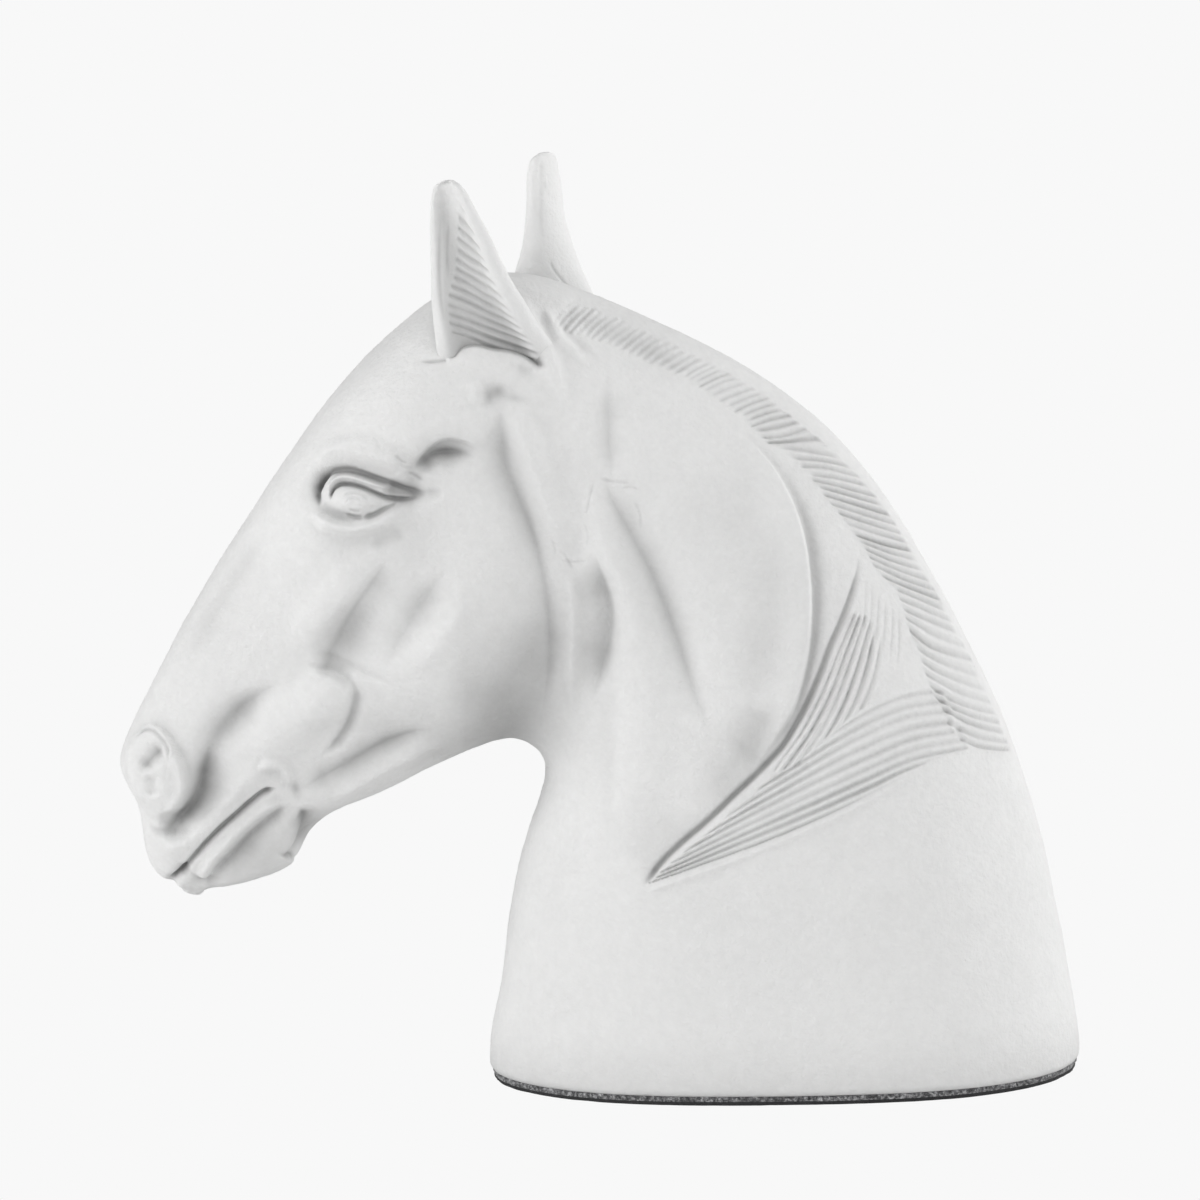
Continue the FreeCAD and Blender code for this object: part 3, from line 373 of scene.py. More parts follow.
HAIR = [
    # the mane along the crest
    ("hair", [
        (-72.5, 258.77, 0.8), (-63.68, 259.33, 0.7), (-49.18, 253.48, 0.7),
        (-32.47, 245.09, 0.7), (-17.01, 236.78, 0.7), (-2.52, 227.24, 0.7), (8.71, 217.81, 0.6),
        (19.01, 208.6, 0.6), (27.4, 200.03, 0.5), (35.11, 190.15, 0.5), (42.46, 178.39, 0.5),
        (48.82, 166.97, 0.5), (55.24, 155.44, 0.5), (59.99, 145.43, 0.5), (65.75, 133.86, 0.5),
        (70.45, 122.32, 0.5), (74.24, 112.34, 0.5), (76.52, 107.06, 0.4), (72.13, 107.3, 0.3),
        (64.56, 109.71, 0.3), (56.92, 114.85, 0.6), (53.85, 122.02, 0.6), (49.75, 129.32, 0.6),
        (46.63, 137.71, 0.6), (43.61, 146.73, 0.6), (40.88, 155.7, 0.6), (37.45, 163.53, 0.6),
        (32.3, 169.68, 0.5), (29.82, 174.31, 0.4), (26.02, 180.31, 0.6), (20.3, 188.34, 0.8),
        (13.93, 196.35, 0.9), (10.14, 201.62, 1.0), (3.73, 207.69, 1.1), (-3.35, 212.54, 1.1),
        (-10.34, 219.8, 1.0), (-18.68, 225.88, 1.0), (-26.99, 231.94, 1.0),
        (-38.11, 237.69, 1.0), (-51.8, 244.85, 1.0), (-63.74, 249.32, 0.8),
        (-71.57, 252.44, 0.7)],
     2.303, [
        (0, [-71.57, 252.44, -68.45, 256.66, -65.29, 259.2]),
        (6, [-59.59, 247.48, -54.73, 251.68, -49.83, 254.35]),
        (13, [-42.88, 239.89, -37.8, 243.67, -32.45, 245.94]),
        (18, [-29.51, 233.97, -24.86, 236.45, -19.58, 238.47]),
        (22, [-21.82, 229.78, -16.49, 231.91, -8.56, 233.37]),
        (26, [-12.88, 222.43, -6.87, 224.82, 0.42, 226.37]),
        (29, [-8.46, 217.21, -1.77, 219.24, 6.49, 220.43]),
        (31, [-5.94, 214.26, 1.99, 213.71, 10.64, 215.82]),
        (33, [-2.79, 210.62, 5.82, 209.86, 19.61, 206.42]),
        (35, [6.91, 204.04, 15.53, 203.37, 24.75, 200.37]),
        (36, [12.12, 201.16, 19.71, 199.6, 27.97, 196.94]),
        (38, [16.62, 196.45, 24.52, 193.57, 32.79, 190.53]),
        (41, [21.63, 188.22, 28.23, 185.41, 39.51, 180.73]),
        (43, [27.38, 180.8, 34.01, 177.96, 42.68, 175.06]),
        (45, [30.57, 175.81, 37.16, 172.32, 46.15, 168.7]),
        (47, [35.36, 169.38, 41.64, 165.89, 49.7, 162.33]),
        (49, [37.79, 163.5, 45.14, 159.88, 53.85, 155.2]),
        (51, [41.59, 156.25, 49.25, 152.23, 57.33, 148.17]),
        (53, [43.72, 149.19, 50.28, 143.45, 62.8, 137.96]),
        (55, [46.72, 139.87, 53.33, 135.01, 66.86, 128.35]),
        (57, [51.16, 130.38, 58.06, 125.42, 69.65, 120.55]),
        (59, [55.27, 123.07, 61.54, 118.79, 73.57, 113.46]),
        (61, [57.6, 114.76, 63.94, 111.04, 76.93, 107.1]),
        (62.5, [56.77, 111.78, 63.78, 108.29, 76.74, 104.96])],
     1.6, 11, 1.25),
    # the lock hanging in front of it
    ("hair", [
        (23.19, 157.39, 0.6), (20.37, 150.7, 0.3), (16.57, 142.78, 0.3), (12.83, 135.11, 0.3),
        (8.76, 127.41, 0.3), (4.69, 119.98, 0.3), (-0.0, 114.13, 0.4), (-3.49, 108.18, 0.5),
        (2.34, 108.62, 0.3), (9.62, 114.06, 0.3), (16.96, 120.06, 0.3), (24.32, 125.34, 0.3),
        (30.02, 129.36, 0.4), (33.27, 138.47, 1.0), (34.24, 147.71, 1.2), (29.04, 155.93, 1.2)],
     2.303, list(enumerate([
         [-1.95, 113.25, 3.42, 119.4, 7.79, 126.83, 11.89, 134.86, 15.98, 143.46, 20.46, 152.6],
         [0.56, 112.82, 5.92, 119.59, 10.3, 127.0, 14.38, 134.69, 18.16, 143.29, 22.32, 152.11],
         [3.42, 112.7, 8.44, 119.16, 12.83, 126.24, 16.94, 133.92, 20.41, 142.51, 24.25, 151.32],
         [6.66, 112.59, 11.35, 118.72, 15.76, 125.47, 19.56, 133.15, 23.05, 141.73,
          26.23, 150.24],
         [14.29, 118.28, 18.38, 124.72, 22.19, 132.38, 25.71, 141.24, 28.23, 148.85],
         [17.58, 118.45, 21.33, 124.25, 25.14, 131.58, 28.35, 140.12, 30.21, 147.14],
         [24.63, 124.7, 28.09, 130.75, 30.94, 138.04, 32.48, 144.77],
         [28.27, 125.1, 31.03, 129.91, 33.55, 136.89, 34.75, 143.0]])),
     1.45, 21, 1.25),
    # the long low lock swept forward
    ("hair", [
        (-45.52, 71.3, 0.25), (-37.98, 78.52, 0.3), (-28.99, 85.97, 0.3), (-20.06, 93.26, 0.3),
        (-10.82, 100.75, 0.3), (-3.54, 106.9, 0.3), (3.04, 110.81, 0.3), (10.63, 115.28, 0.3),
        (18.95, 121.22, 0.3), (28.97, 126.62, 0.3), (40.68, 130.32, 0.4), (50.83, 131.03, 0.8),
        (57.42, 126.44, 1.4), (59.48, 118.49, 1.4), (61.11, 109.93, 0.9), (51.62, 109.02, 0.4),
        (42.2, 106.22, 0.3), (31.49, 101.34, 0.25), (21.57, 96.81, 0.25), (5.14, 90.13, 0.25),
        (-11.22, 83.86, 0.25), (-27.51, 77.99, 0.25)],
     1.974, list(enumerate([
         [-15.65, 102.12, -3.32, 111.38, 7.46, 118.57, 17.38, 124.45, 28.38, 129.48,
          40.77, 133.72, 54.28, 133.03],
         [-18.03, 97.68, -4.83, 106.63, 6.69, 114.16, 17.29, 120.36, 27.62, 125.46,
          39.98, 129.45, 55.84, 129.73],
         [-22.36, 93.89, -8.51, 102.6, 4.65, 110.13, 15.56, 116.34, 26.19, 121.46,
          40.54, 125.98, 57.42, 126.44],
         [-25.35, 90.09, -10.86, 98.84, 2.27, 106.1, 13.83, 112.32, 25.43, 117.74,
          40.43, 122.88, 58.32, 123.25],
         [-29.99, 85.95, -14.19, 95.09, 0.57, 102.67, 13.09, 108.88, 25.33, 114.29,
          41.32, 119.38, 59.55, 120.01],
         [-33.97, 82.42, -17.51, 91.32, -1.13, 99.23, 12.68, 105.42, 25.89, 110.8,
          42.55, 116.17, 60.43, 116.81],
         [-36.63, 79.51, -19.53, 87.83, -1.86, 95.75, 12.6, 101.94, 26.46, 107.62,
          43.1, 113.01, 61.33, 113.92],
         [-39.32, 76.9, -22.19, 84.66, -3.89, 92.3, 12.52, 98.78, 27.03, 104.44,
          42.99, 109.9, 61.88, 111.37],
         [-41.97, 74.59, -24.2, 81.8, -5.26, 89.14, 12.45, 95.92, 27.6, 101.88,
          42.9, 107.41, 62.48, 109.73],
         [-44.55, 72.61, -25.87, 79.26, -6.31, 85.98, 12.36, 93.07, 28.16, 99.32,
          42.12, 104.35, 63.03, 107.17]])),
     1.55, 31, 1.25),
]

# Ears. A small sunk patch near the left tip shows on both faces.
TIP_PATCH = [-108.6, 296.04, -106.3, 297.92, -103.11, 296.56, -103.51, 293.98, -106.13, 292.1,
             -108.36, 293.12]
LEFT_BOWL = [
    ("hair", [-100.28, 294.23, -98.33, 294.83, -95.3, 287.64, -92.31, 278.5, -88.68, 269.33,
              -84.05, 261.1, -78.44, 252.84, -75.41, 244.96, -79.4, 240.49, -91.65, 242.08,
              -101.94, 244.28, -104.25, 254.43, -105.0, 262.58, -102.84, 270.64,
              -101.25, 281.95],
     0.987, list(enumerate([
         [-102.5, 295.57, -99.03, 292.58, -96.55, 288.96],
         [-103.23, 292.36, -99.46, 288.71, -95.71, 284.41],
         [-103.65, 288.81, -99.24, 284.82, -94.84, 280.5],
         [-103.76, 284.6, -98.71, 280.6, -93.34, 276.26],
         [-103.86, 280.72, -98.17, 276.69, -92.14, 272.98],
         [-103.96, 277.15, -97.62, 273.11, -90.95, 269.06],
         [-104.05, 273.91, -96.74, 269.85, -89.44, 265.13],
         [-104.13, 270.67, -95.86, 266.26, -87.92, 261.2],
         [-104.21, 267.75, -95.29, 263.32, -86.07, 257.9],
         [-104.29, 264.83, -94.73, 260.06, -84.22, 254.61],
         [-104.06, 261.58, -93.85, 256.79, -82.04, 251.3],
         [-103.5, 258.31, -92.65, 253.18, -79.54, 247.99],
         [-102.29, 255.03, -91.45, 249.57, -77.36, 244.68],
         [-101.1, 251.43, -90.25, 245.96, -75.51, 241.05]])),
     1.05, 51, 1.2),
    ("stroke", [-106.19, 290.16, -106.82, 278.84, -106.85, 265.87, -105.86, 254.47],
     0.658, -0.35),
    ("stroke", [-103.61, 290.1, -104.24, 278.78, -104.22, 267.43], 0.526, -0.25),
    ("plate", TIP_PATCH, -0.12, 0.395),
    ("plate", [-103.04, 299.14, -100.77, 300.06, -98.24, 298.06, -99.57, 296.47,
               -102.14, 296.86], -0.12, 0.395),
]
LEFT_BACK = [("plate", TIP_PATCH, -0.1, 0.494)]
RIGHT_BACK = [
    ("stroke", [-73.89, 302.91, -74.11, 294.0, -74.36, 284.08, -73.94, 274.14],
     0.987, -0.3, (0.1, 0.3)),
    ("stroke", [-72.39, 296.93, -72.49, 292.97], 0.329, 0.35),
    ("stroke", [-71.39, 270.43, -71.13, 267.77, -68.27, 263.39, -63.77, 258.3],
     0.329, -0.35, (0.2, 0.2)),
    ("stroke", [-76.58, 300.66, -77.2, 289.11, -78.14, 277.55], 0.987, 0.25),
]
# Ear sections: z, front x, rear x, centre y, depth, turn (degrees)
LEFT_EAR = [
    (224.0, -104.0, -62.0, -14.0, 8.0, -8.0), (235.0, -106.5, -65.5, -17.5, 9.0, -8.0),
    (246.0, -107.9, -71.2, -22.2, 10.5, -8.0), (254.0, -108.7, -76.2, -24.4, 11.3, -3.0),
    (262.5, -109.8, -80.5, -25.4, 10.5, 8.0), (270.5, -110.0, -84.8, -25.4, 9.6, 16.0),
    (278.7, -109.9, -88.4, -24.9, 8.6, 22.0), (287.0, -109.7, -92.2, -25.4, 7.4, 22.0),
    (294.0, -109.3, -95.8, -25.8, 6.3, 22.0), (298.0, -108.6, -98.0, -26.0, 5.4, 22.0),
    (299.9, -107.6, -99.6, -26.0, 4.4, 22.0), (300.8, -105.9, -101.0, -26.0, 3.0, 22.0),
]
RIGHT_EAR = [
    (226.0, -92.0, -50.0, 12.0, 9.0, 4.0), (238.0, -92.0, -50.5, 17.0, 10.0, 6.0),
    (248.0, -90.5, -54.4, 20.0, 11.0, 10.0), (255.4, -88.0, -57.2, 21.2, 11.0, 15.0),
    (262.0, -85.0, -59.8, 22.0, 10.3, 22.0), (269.0, -82.3, -62.6, 22.6, 9.5, 30.0),
    (276.0, -80.4, -64.8, 23.0, 8.8, 38.0), (282.5, -79.5, -66.6, 23.4, 8.0, 43.0),
    (289.2, -79.0, -67.2, 23.7, 7.0, 45.0), (296.0, -78.8, -67.8, 24.0, 5.8, 45.0),
    (301.0, -78.0, -68.6, 24.0, 4.6, 45.0), (303.4, -76.6, -69.4, 24.0, 3.6, 45.0),
    (304.2, -75.2, -70.4, 24.0, 2.6, 45.0),
]


# ---------------------------------------------------------------- spline skin
def running_sum(lengths):
    return np.concatenate([[0], np.cumsum(lengths)])


def smooth01(x):
    x = np.clip(x, 0, 1)
    return x * x * (3 - 2 * x)


def unit(vectors):
    return vectors / np.maximum(np.linalg.norm(vectors, axis=2, keepdims=True), 1e-12)


def ring_points(section, wall=0.0):
    """Sixteen points (x, y, z) round one section, moved in by wall."""
    crest_x, crest_z, throat_x, throat_z, half = section
    crest, throat = np.array([crest_x, crest_z]), np.array([throat_x, throat_z])
    chord = (throat - crest) / np.linalg.norm(throat - crest)
    crest, throat = crest + chord * wall, throat - chord * wall
    half = np.array(half) * (max(half) - wall) / max(half)
    side = crest + (throat - crest) * ((1 - np.cos(STATIONS)) / 2)[:, None]
    right = np.c_[side[:, 0], half, side[:, 1]]
    return np.vstack([[crest[0], 0, crest[1]], right, [throat[0], 0, throat[1]],
                      (right * [1, -1, 1])[::-1]])


def periodic_eval(points, u):
    """Uniform periodic cubic spline through points (n, k, 3) at parameters u in 0..n."""
    n = len(points)
    eye = np.eye(n)
    matrix = (4 * eye + np.roll(eye, 1, 0) + np.roll(eye, -1, 0)) / 6
    poles = np.linalg.solve(matrix, points.reshape(n, -1)).reshape(points.shape)
    i = np.floor(u).astype(int)
    f = (u - i)[:, None, None]
    weights = [(1 - f) ** 3 / 6, (3 * f ** 3 - 6 * f ** 2 + 4) / 6,
               (-3 * f ** 3 + 3 * f ** 2 + 3 * f + 1) / 6, f ** 3 / 6]
    return sum(weight * poles[(i + k - 1) % n] for k, weight in enumerate(weights))


def bspline_basis(knots, n, u):
    """Clamped cubic basis values (len(u), n)."""
    u = np.minimum(u, 1 - 1e-12)
    basis = np.array([(knots[i] <= u) & (u < knots[i + 1]) for i in range(len(knots) - 1)],
                     float)
    for degree in range(1, 4):
        raised = []
        for i in range(len(knots) - 1 - degree):
            value = np.zeros_like(u)
            span = knots[i + degree] - knots[i]
            if span > 0:
                value = value + (u - knots[i]) / span * basis[i]
            span = knots[i + degree + 1] - knots[i + 1]
            if span > 0:
                value = value + (knots[i + degree + 1] - u) / span * basis[i + 1]
            raised.append(value)
        basis = np.array(raised)
    return basis[:n].T


def loft(rings):
    """Returns a function giving the ring at each parameter (0..1), and the rings' parameters."""
    n = len(rings)
    gaps = np.linalg.norm(np.diff(rings, axis=0), axis=2).mean(1)
    t = running_sum(np.maximum(gaps, 0.05))
    t /= t[-1]
    inner_knots = [(t[j] + t[j + 1] + t[j + 2]) / 3 for j in range(1, n - 3)]
    knots = np.concatenate([[0] * 4, inner_knots, [1] * 4])
    poles = np.linalg.solve(bspline_basis(knots, n, t), rings.reshape(n, -1))

    def rings_at(params):
        return (bspline_basis(knots, n, params) @ poles).reshape(len(params), *rings.shape[1:])
    return rings_at, t


def skin_grid(rings_at, t, u):
    """Skin points (rows, columns, 3)."""
    return periodic_eval(rings_at(t).transpose(1, 0, 2), u).transpose(1, 0, 2)


def mean_spacing(rings_at, t, u):
    """Distance between neighbouring u round the skin, averaged over t."""
    probe = periodic_eval(rings_at(t).transpose(1, 0, 2), u)
    return np.linalg.norm(np.diff(probe, axis=0), axis=2).mean(1)


def spread(params, lengths, step=None, count=None):
    """Parameters at even intervals of the running sum of lengths."""
    total = running_sum(lengths)
    count = count or int(total[-1] / step) + 1
    return np.interp(np.linspace(0, total[-1], count), total, params)


def foot_outline(inset, u):
    return periodic_eval(ring_points(SECTIONS[0], inset)[:, None, :], u)[:, 0]


# ------------------------------------------------------- curves in the side view
def with_factors(points, columns):
    """Rows x, z and factors; missing factors are 1."""
    rows = np.array(points, float)
    if rows.ndim == 1:
        rows = rows.reshape(-1, 2)
    return np.hstack([rows, np.ones((len(rows), columns - rows.shape[1]))])


def catmull(p, step):
    """Dense polyline through the rows of p; extra columns are interpolated too."""
    if len(p) < 3:
        n = max(2, int(np.linalg.norm(p[-1, :2] - p[0, :2]) / step) + 1)
        return p[0] + (p[-1] - p[0]) * np.linspace(0, 1, n)[:, None]
    q = np.vstack([2 * p[0] - p[1], p, 2 * p[-1] - p[-2]])
    out = []
    for i in range(len(p) - 1):
        a, b, c, d = q[i:i + 4]
        n = max(2, int(np.linalg.norm((c - b)[:2]) / step) + 1)
        f = np.linspace(0, 1, n, endpoint=False)[:, None]
        out.append(0.5 * (2 * b + (c - a) * f + (2 * a - 5 * b + 4 * c - d) * f ** 2
                          + (3 * b - a - 3 * c + d) * f ** 3))
    out.append(p[-1:])
    return np.vstack(out)


def closed(p):
    """One turn of the closed curve through the rows of p."""
    q = catmull(np.vstack([p[-2:], p, p[:2]]), 1.5)
    gap = np.linalg.norm(q[:, :2] - p[0, :2], axis=1)
    half = len(q) // 2
    first = np.argmin(gap[:len(q) // 3])
    return q[first:half + np.argmin(gap[half:]) + 1]


def polydist(points, line):
    """Distance, signed distance (positive to the left of travel with x right and z up), and
    position along the line 0..1."""
    best = np.full(len(points), 1e9)
    sign = np.ones(len(points))
    along = np.zeros(len(points))
    lengths = np.linalg.norm(np.diff(line[:, :2], axis=0), axis=1)
    reached = running_sum(lengths)
    total = max(reached[-1], 1e-9)
    for k in range(len(line) - 1):
        a, d = line[k, :2], line[k + 1, :2] - line[k, :2]
        square = float(d @ d)
        if square < 1e-12:
            continue
        rx, rz = points[:, 0] - a[0], points[:, 1] - a[1]
        f = np.clip((rx * d[0] + rz * d[1]) / square, 0, 1)
        ex, ez = rx - f * d[0], rz - f * d[1]
        gap = ex * ex + ez * ez
        m = gap < best - 1e-9
        best[m] = gap[m]
        sign[m] = np.sign(d[0] * ez[m] - d[1] * ex[m])
        along[m] = (reached[k] + f[m] * lengths[k]) / total
    best = np.sqrt(best)
    sign[sign == 0] = 1
    return best, best * sign, along


def factor_along(line, along, column):
    marks = running_sum(np.linalg.norm(np.diff(line[:, :2], axis=0), axis=1))
    return np.interp(along, marks / marks[-1], line[:, column])


def inside(points, outline):
    """Even-odd test."""
    x, z = points[:, 0], points[:, 1]
    result = np.zeros(len(points), bool)
    corners = outline[:, :2]
    for (x0, z0), (x1, z1) in zip(corners, np.roll(corners, -1, axis=0)):
        if z0 != z1:
            result ^= ((z0 > z) != (z1 > z)) & (x < (x1 - x0) * (z - z0) / (z1 - z0) + x0)
    return result


class Relief:
    """Height (mm, outward) over side-view points. Each tool adds to it; a negative height
    cuts in."""

    def __init__(self, grid):
        self.points = np.c_[grid[..., 0].ravel(), grid[..., 2].ravel()]
        self.height = np.zeros(len(self.points))

    def near(self, line, margin):
        low, high = line[:, :2].min(0) - margin, line[:, :2].max(0) + margin
        return np.flatnonzero(((self.points > low) & (self.points < high)).all(1))

    def stroke(self, points, width, height, ends=(0.3, 0.3), power=2.0, left_width=None):
        """Ridge or groove. points: x, z, and optional width and height factors. ends: share
        of the length over which each end fades. left_width: half width left of travel."""
        left_width = width if left_width is None else left_width
        points = with_factors(points, 4)
        line = catmull(points, max(0.6, width * 0.3))
        near = self.near(line, max(width, left_width) * points[:, 2].max() * 3)
        distance, signed, along = polydist(self.points[near], line)
        fade = np.ones(len(near))
        for from_end, reach in zip((along, 1 - along), ends):
            if reach > 0:
                fade *= smooth01(from_end / reach)
        widths = (np.where(signed > 0, left_width, width) * factor_along(line, along, 2)
                  * (0.45 + 0.55 * fade))
        heights = height * factor_along(line, along, 3)
        self.height[near] += heights * fade * np.exp(-(distance / widths) ** power)

    def blob(self, centre, axis_end, minor, height, power=2.0):
        """Oval bump. axis_end: end of the major half axis; minor: minor half axis length."""
        centre = np.array(centre, float)
        axis = np.array(axis_end, float) - centre
        major = np.linalg.norm(axis)
        axis /= major
        near = self.near(centre[None], max(major, minor) * 2.6)
        offset = self.points[near] - centre
        p = (offset @ axis) / major
        q = (offset @ np.array([-axis[1], axis[0]])) / minor
        self.height[near] += height * np.exp(-((p * p + q * q) ** (power / 2)))

    def plate(self, outline, height, softness):
        """Raised or sunk area. outline: x, z, and optional edge softness factor."""
        outline = with_factors(outline, 3)
        line = closed(outline)
        near = self.near(line, softness * outline[:, 2].max() * 1.2)
        distance, _, along = polydist(self.points[near], line)
        edge = softness * factor_along(line, along, 2)
        depth = np.where(inside(self.points[near], line), distance, -distance)
        self.height[near] += height * smooth01(0.5 + 0.5 * depth / edge)

    def step(self, points, height, sharp, run, ends):
        """Raised left of travel, sharp at the line, fading away over run."""
        line = catmull(with_factors(points, 2), 1.5)
        near = self.near(line, run * 3)
        _, signed, along = polydist(self.points[near], line)
        fade = smooth01(along / ends[0]) * smooth01((1 - along) / ends[1])
        self.height[near] += (height * fade * smooth01(0.5 + signed / (2 * sharp))
                              * np.exp(-(np.maximum(signed, 0) / run) ** 1.5))

    def hair(self, outline, edge, guides, depth, seed, power):
        """Carved strands. guides: (strand number, points); strands fill in between them."""
        rng = np.random.default_rng(seed)
        line = closed(with_factors(outline, 3))
        near = self.near(line, edge)
        near = near[inside(self.points[near], line)]
        points = self.points[near]
        from_edge, _, around = polydist(points, line)
        edges = edge * factor_along(line, around, 2)
        below = []                       # positive to the right of each guide
        along = np.zeros(len(points))
        for _, guide in guides:
            guide = with_factors(guide, 2)
            before, after = guide[0] - guide[1], guide[-1] - guide[-2]
            path = np.vstack([guide[0] + before / np.linalg.norm(before) * 30,
                              catmull(guide, 4.0),
                              guide[-1] + after / np.linalg.norm(after) * 30])
            _, signed, position = polydist(points, path)
            below.append(-signed)
            along += position / len(guides)
        numbers = [number for number, _ in guides]
        phase = np.full(len(points), np.nan)
        for i in range(len(guides) - 1):
            m = (below[i] >= 0) & (below[i + 1] < 0)
            share = below[i][m] / np.maximum(below[i][m] - below[i + 1][m], 1e-6)
            phase[m] = numbers[i] + (numbers[i + 1] - numbers[i]) * share
        found = ~np.isnan(phase)
        near, phase, along = near[found], phase[found], along[found]
        count = int(max(numbers)) + 3
        strand = np.clip(np.round(phase).astype(int), 0, count - 1)
        start = rng.uniform(0.35, 1.6, count)
        fade = smooth01(from_edge[found] / (edges[found] * start[strand]))
        strength = rng.uniform(0.75, 1.15, count)
        shift = rng.uniform(-0.10, 0.10, count)
        wave = rng.uniform(0, 6.28, count)[strand]
        off_line = phase - strand - shift[strand] * (0.5 + 0.5 * np.sin(along * 9 + wave))
        off_line = np.clip(np.abs(off_line) * 2, 0, 1)
        cut = strength[strand] * (0.86 + 0.14 * np.sin(along * 14 + 2.1 * wave))
        self.height[near] += -depth * fade * cut * ((1 - off_line) ** power - 0.35)


def relief_over(grid, features):
    relief = Relief(grid)
    for tool, *settings in features:
        getattr(relief, tool)(*settings)
    return relief.height.reshape(grid.shape[:2])


# ------------------------------------------------------------- noise and blur
def lattice_noise(points, cell, seed):
    """Smooth noise in about -1..1 at points (n, 3), with cell size in mm."""
    table = np.random.default_rng(seed).uniform(-1, 1, 4096)
    scaled = points / cell
    base = np.floor(scaled).astype(np.int64)
    f = scaled - base
    f = f * f * (3 - 2 * f)
    total = 0
    for corner in np.ndindex(2, 2, 2):
        key = (base + corner) * np.array([73856093, 19349663, 83492791])
        value = table[(key[:, 0] ^ key[:, 1] ^ key[:, 2]) & 4095]
        weight = np.where(corner, f, 1 - f)
        total = total + value * (weight[:, 0] * weight[:, 1] * weight[:, 2])
    return total


def soften(grid, sigma):
    """Gaussian blur of a grid, sigma in cells, mirrored edges."""
    m = int(3 * sigma) + 2
    b = np.pad(grid, m, mode="reflect")
    fy = np.exp(-2 * (np.pi * np.fft.fftfreq(b.shape[0]) * sigma) ** 2)[:, None]
    fx = np.exp(-2 * (np.pi * np.fft.rfftfreq(b.shape[1]) * sigma) ** 2)[None, :]
    return np.fft.irfft2(np.fft.rfft2(b) * fy * fx, s=b.shape)[m:-m, m:-m]


def hollow(grid, reach, step, full):
    """0..1: how far each point lies below its surroundings, 1 at a depth of full."""
    return np.clip((soften(grid, reach / step) - grid) / full, 0, 1)


# ----------------------------------------------------------------------- meshes
def make_mesh(name, rings, first_tip, last_tip, tone=None):
    """Skins a stack of closed rings (rows, columns, 3) and fans both ends to their tips."""
    rows, n = rings.shape[:2]
    verts = np.vstack([rings.reshape(-1, 3), first_tip, last_tip])
    k = np.arange(n)
    a = np.arange(rows - 1)[:, None] * n + k
    b = np.arange(rows - 1)[:, None] * n + (k + 1) % n
    quads = np.stack([a, b, b + n, a + n], -1).reshape(-1, 4)
    last = (rows - 1) * n
    tris = np.vstack([np.c_[np.full(n, rows * n), (k + 1) % n, k],
                      np.c_[np.full(n, rows * n + 1), last + k, last + (k + 1) % n]])

    def volume(a, b, c):
        return np.einsum("ij,ij->i", verts[a], np.cross(verts[b], verts[c])).sum() / 6
    q0, q1, q2, q3 = quads.T
    if volume(q0, q1, q2) + volume(q0, q2, q3) < 0:
        quads = quads[:, ::-1]
    # a fan must run its shared edge against the neighbouring quad
    start, end = tris[0, 1:]
    quad = quads[(quads == start).any(1) & (quads == end).any(1)][0]
    if (start, end) in zip(quad, np.roll(quad, -1)):
        tris = tris[:, ::-1]
    me = bpy.data.meshes.new(name)
    me.vertices.add(len(verts))
    me.vertices.foreach_set("co", (verts * MM).astype(np.float32).ravel())
    me.loops.add(quads.size + tris.size)
    corners = np.concatenate([quads.ravel(), tris.ravel()])
    me.loops.foreach_set("vertex_index", corners.astype(np.int32))
    me.polygons.add(len(quads) + len(tris))
    starts = np.concatenate([np.arange(len(quads)) * 4, quads.size + np.arange(len(tris)) * 3])
    me.polygons.foreach_set("loop_start", starts.astype(np.int32))
    me.update(calc_edges=True)
    me.validate()
    shade_smooth(me)
    # tone: colour factor that holds painted shade, kept as a mesh attribute
    if tone is not None:
        painted_shade = me.attributes.new("painted_shade", "FLOAT", "POINT")
        painted_shade.data.foreach_set("value", np.asarray(tone, np.float32))
    me.update()
    ob = bpy.data.objects.new(name, me)
    bpy.context.scene.collection.objects.link(ob)
    return ob


def shade_smooth(me):
    me.polygons.foreach_set("use_smooth", np.ones(len(me.polygons), bool))


# ------------------------------------------------------------------ the casting
def half_skin(step):
    """The smooth right half (+y), crest to throat: points, normals, ring parameters."""
    rings_at, section_t = loft(np.array([ring_points(section) for section in SECTIONS]))
    # columns: even arc length on average, finer near the crest
    u_fine = np.linspace(0, 8, 1601)
    spacing = mean_spacing(rings_at, np.linspace(0.02, 0.98, 60), u_fine)
    middle = (u_fine[1:] + u_fine[:-1]) / 2
    u = spread(u_fine, spacing * (1 + 0.45 * np.exp(-(middle / 3.0) ** 4)), step)
    # rows: even steps of the fastest column, coarser in the plain lower bust
    t_fine = np.linspace(0, 1, 4001)
    spacing = np.linalg.norm(np.diff(rings_at(t_fine), axis=0), axis=2)
    spacing = 0.65 * spacing.max(1) + 0.35 * spacing.mean(1)
    section = np.interp((t_fine[1:] + t_fine[:-1]) / 2, section_t, np.arange(len(section_t)))
    spacing = spacing * np.interp(section, [0, 0.25, 0.5, 4.6, 6.0, 45],
                                  [1.6, 1.0, 0.35, 0.4, 1.0, 1.0])
    half = skin_grid(rings_at, spread(t_fine, spacing, step), u)
    half[:, 0, 1] = 0
    half[:, -1, 1] = 0
    down = np.gradient(half, axis=0)
    across = np.gradient(half, axis=1)
    across[:, 0] = (half[:, 1] - half[:, 0]) * [0, 1, 0] + [0, 1e-9, 0]
    across[:, -1] = (half[:, -1] - half[:, -2]) * [0, 1, 0] - [0, 1e-9, 0]
    normal = unit(np.cross(down, across))
    if normal[len(half) // 2, len(u) // 2, 1] < 0:
        normal = -normal
    normal[:, 0, 1] = 0
    normal[:, -1, 1] = 0
    return half, unit(normal), u


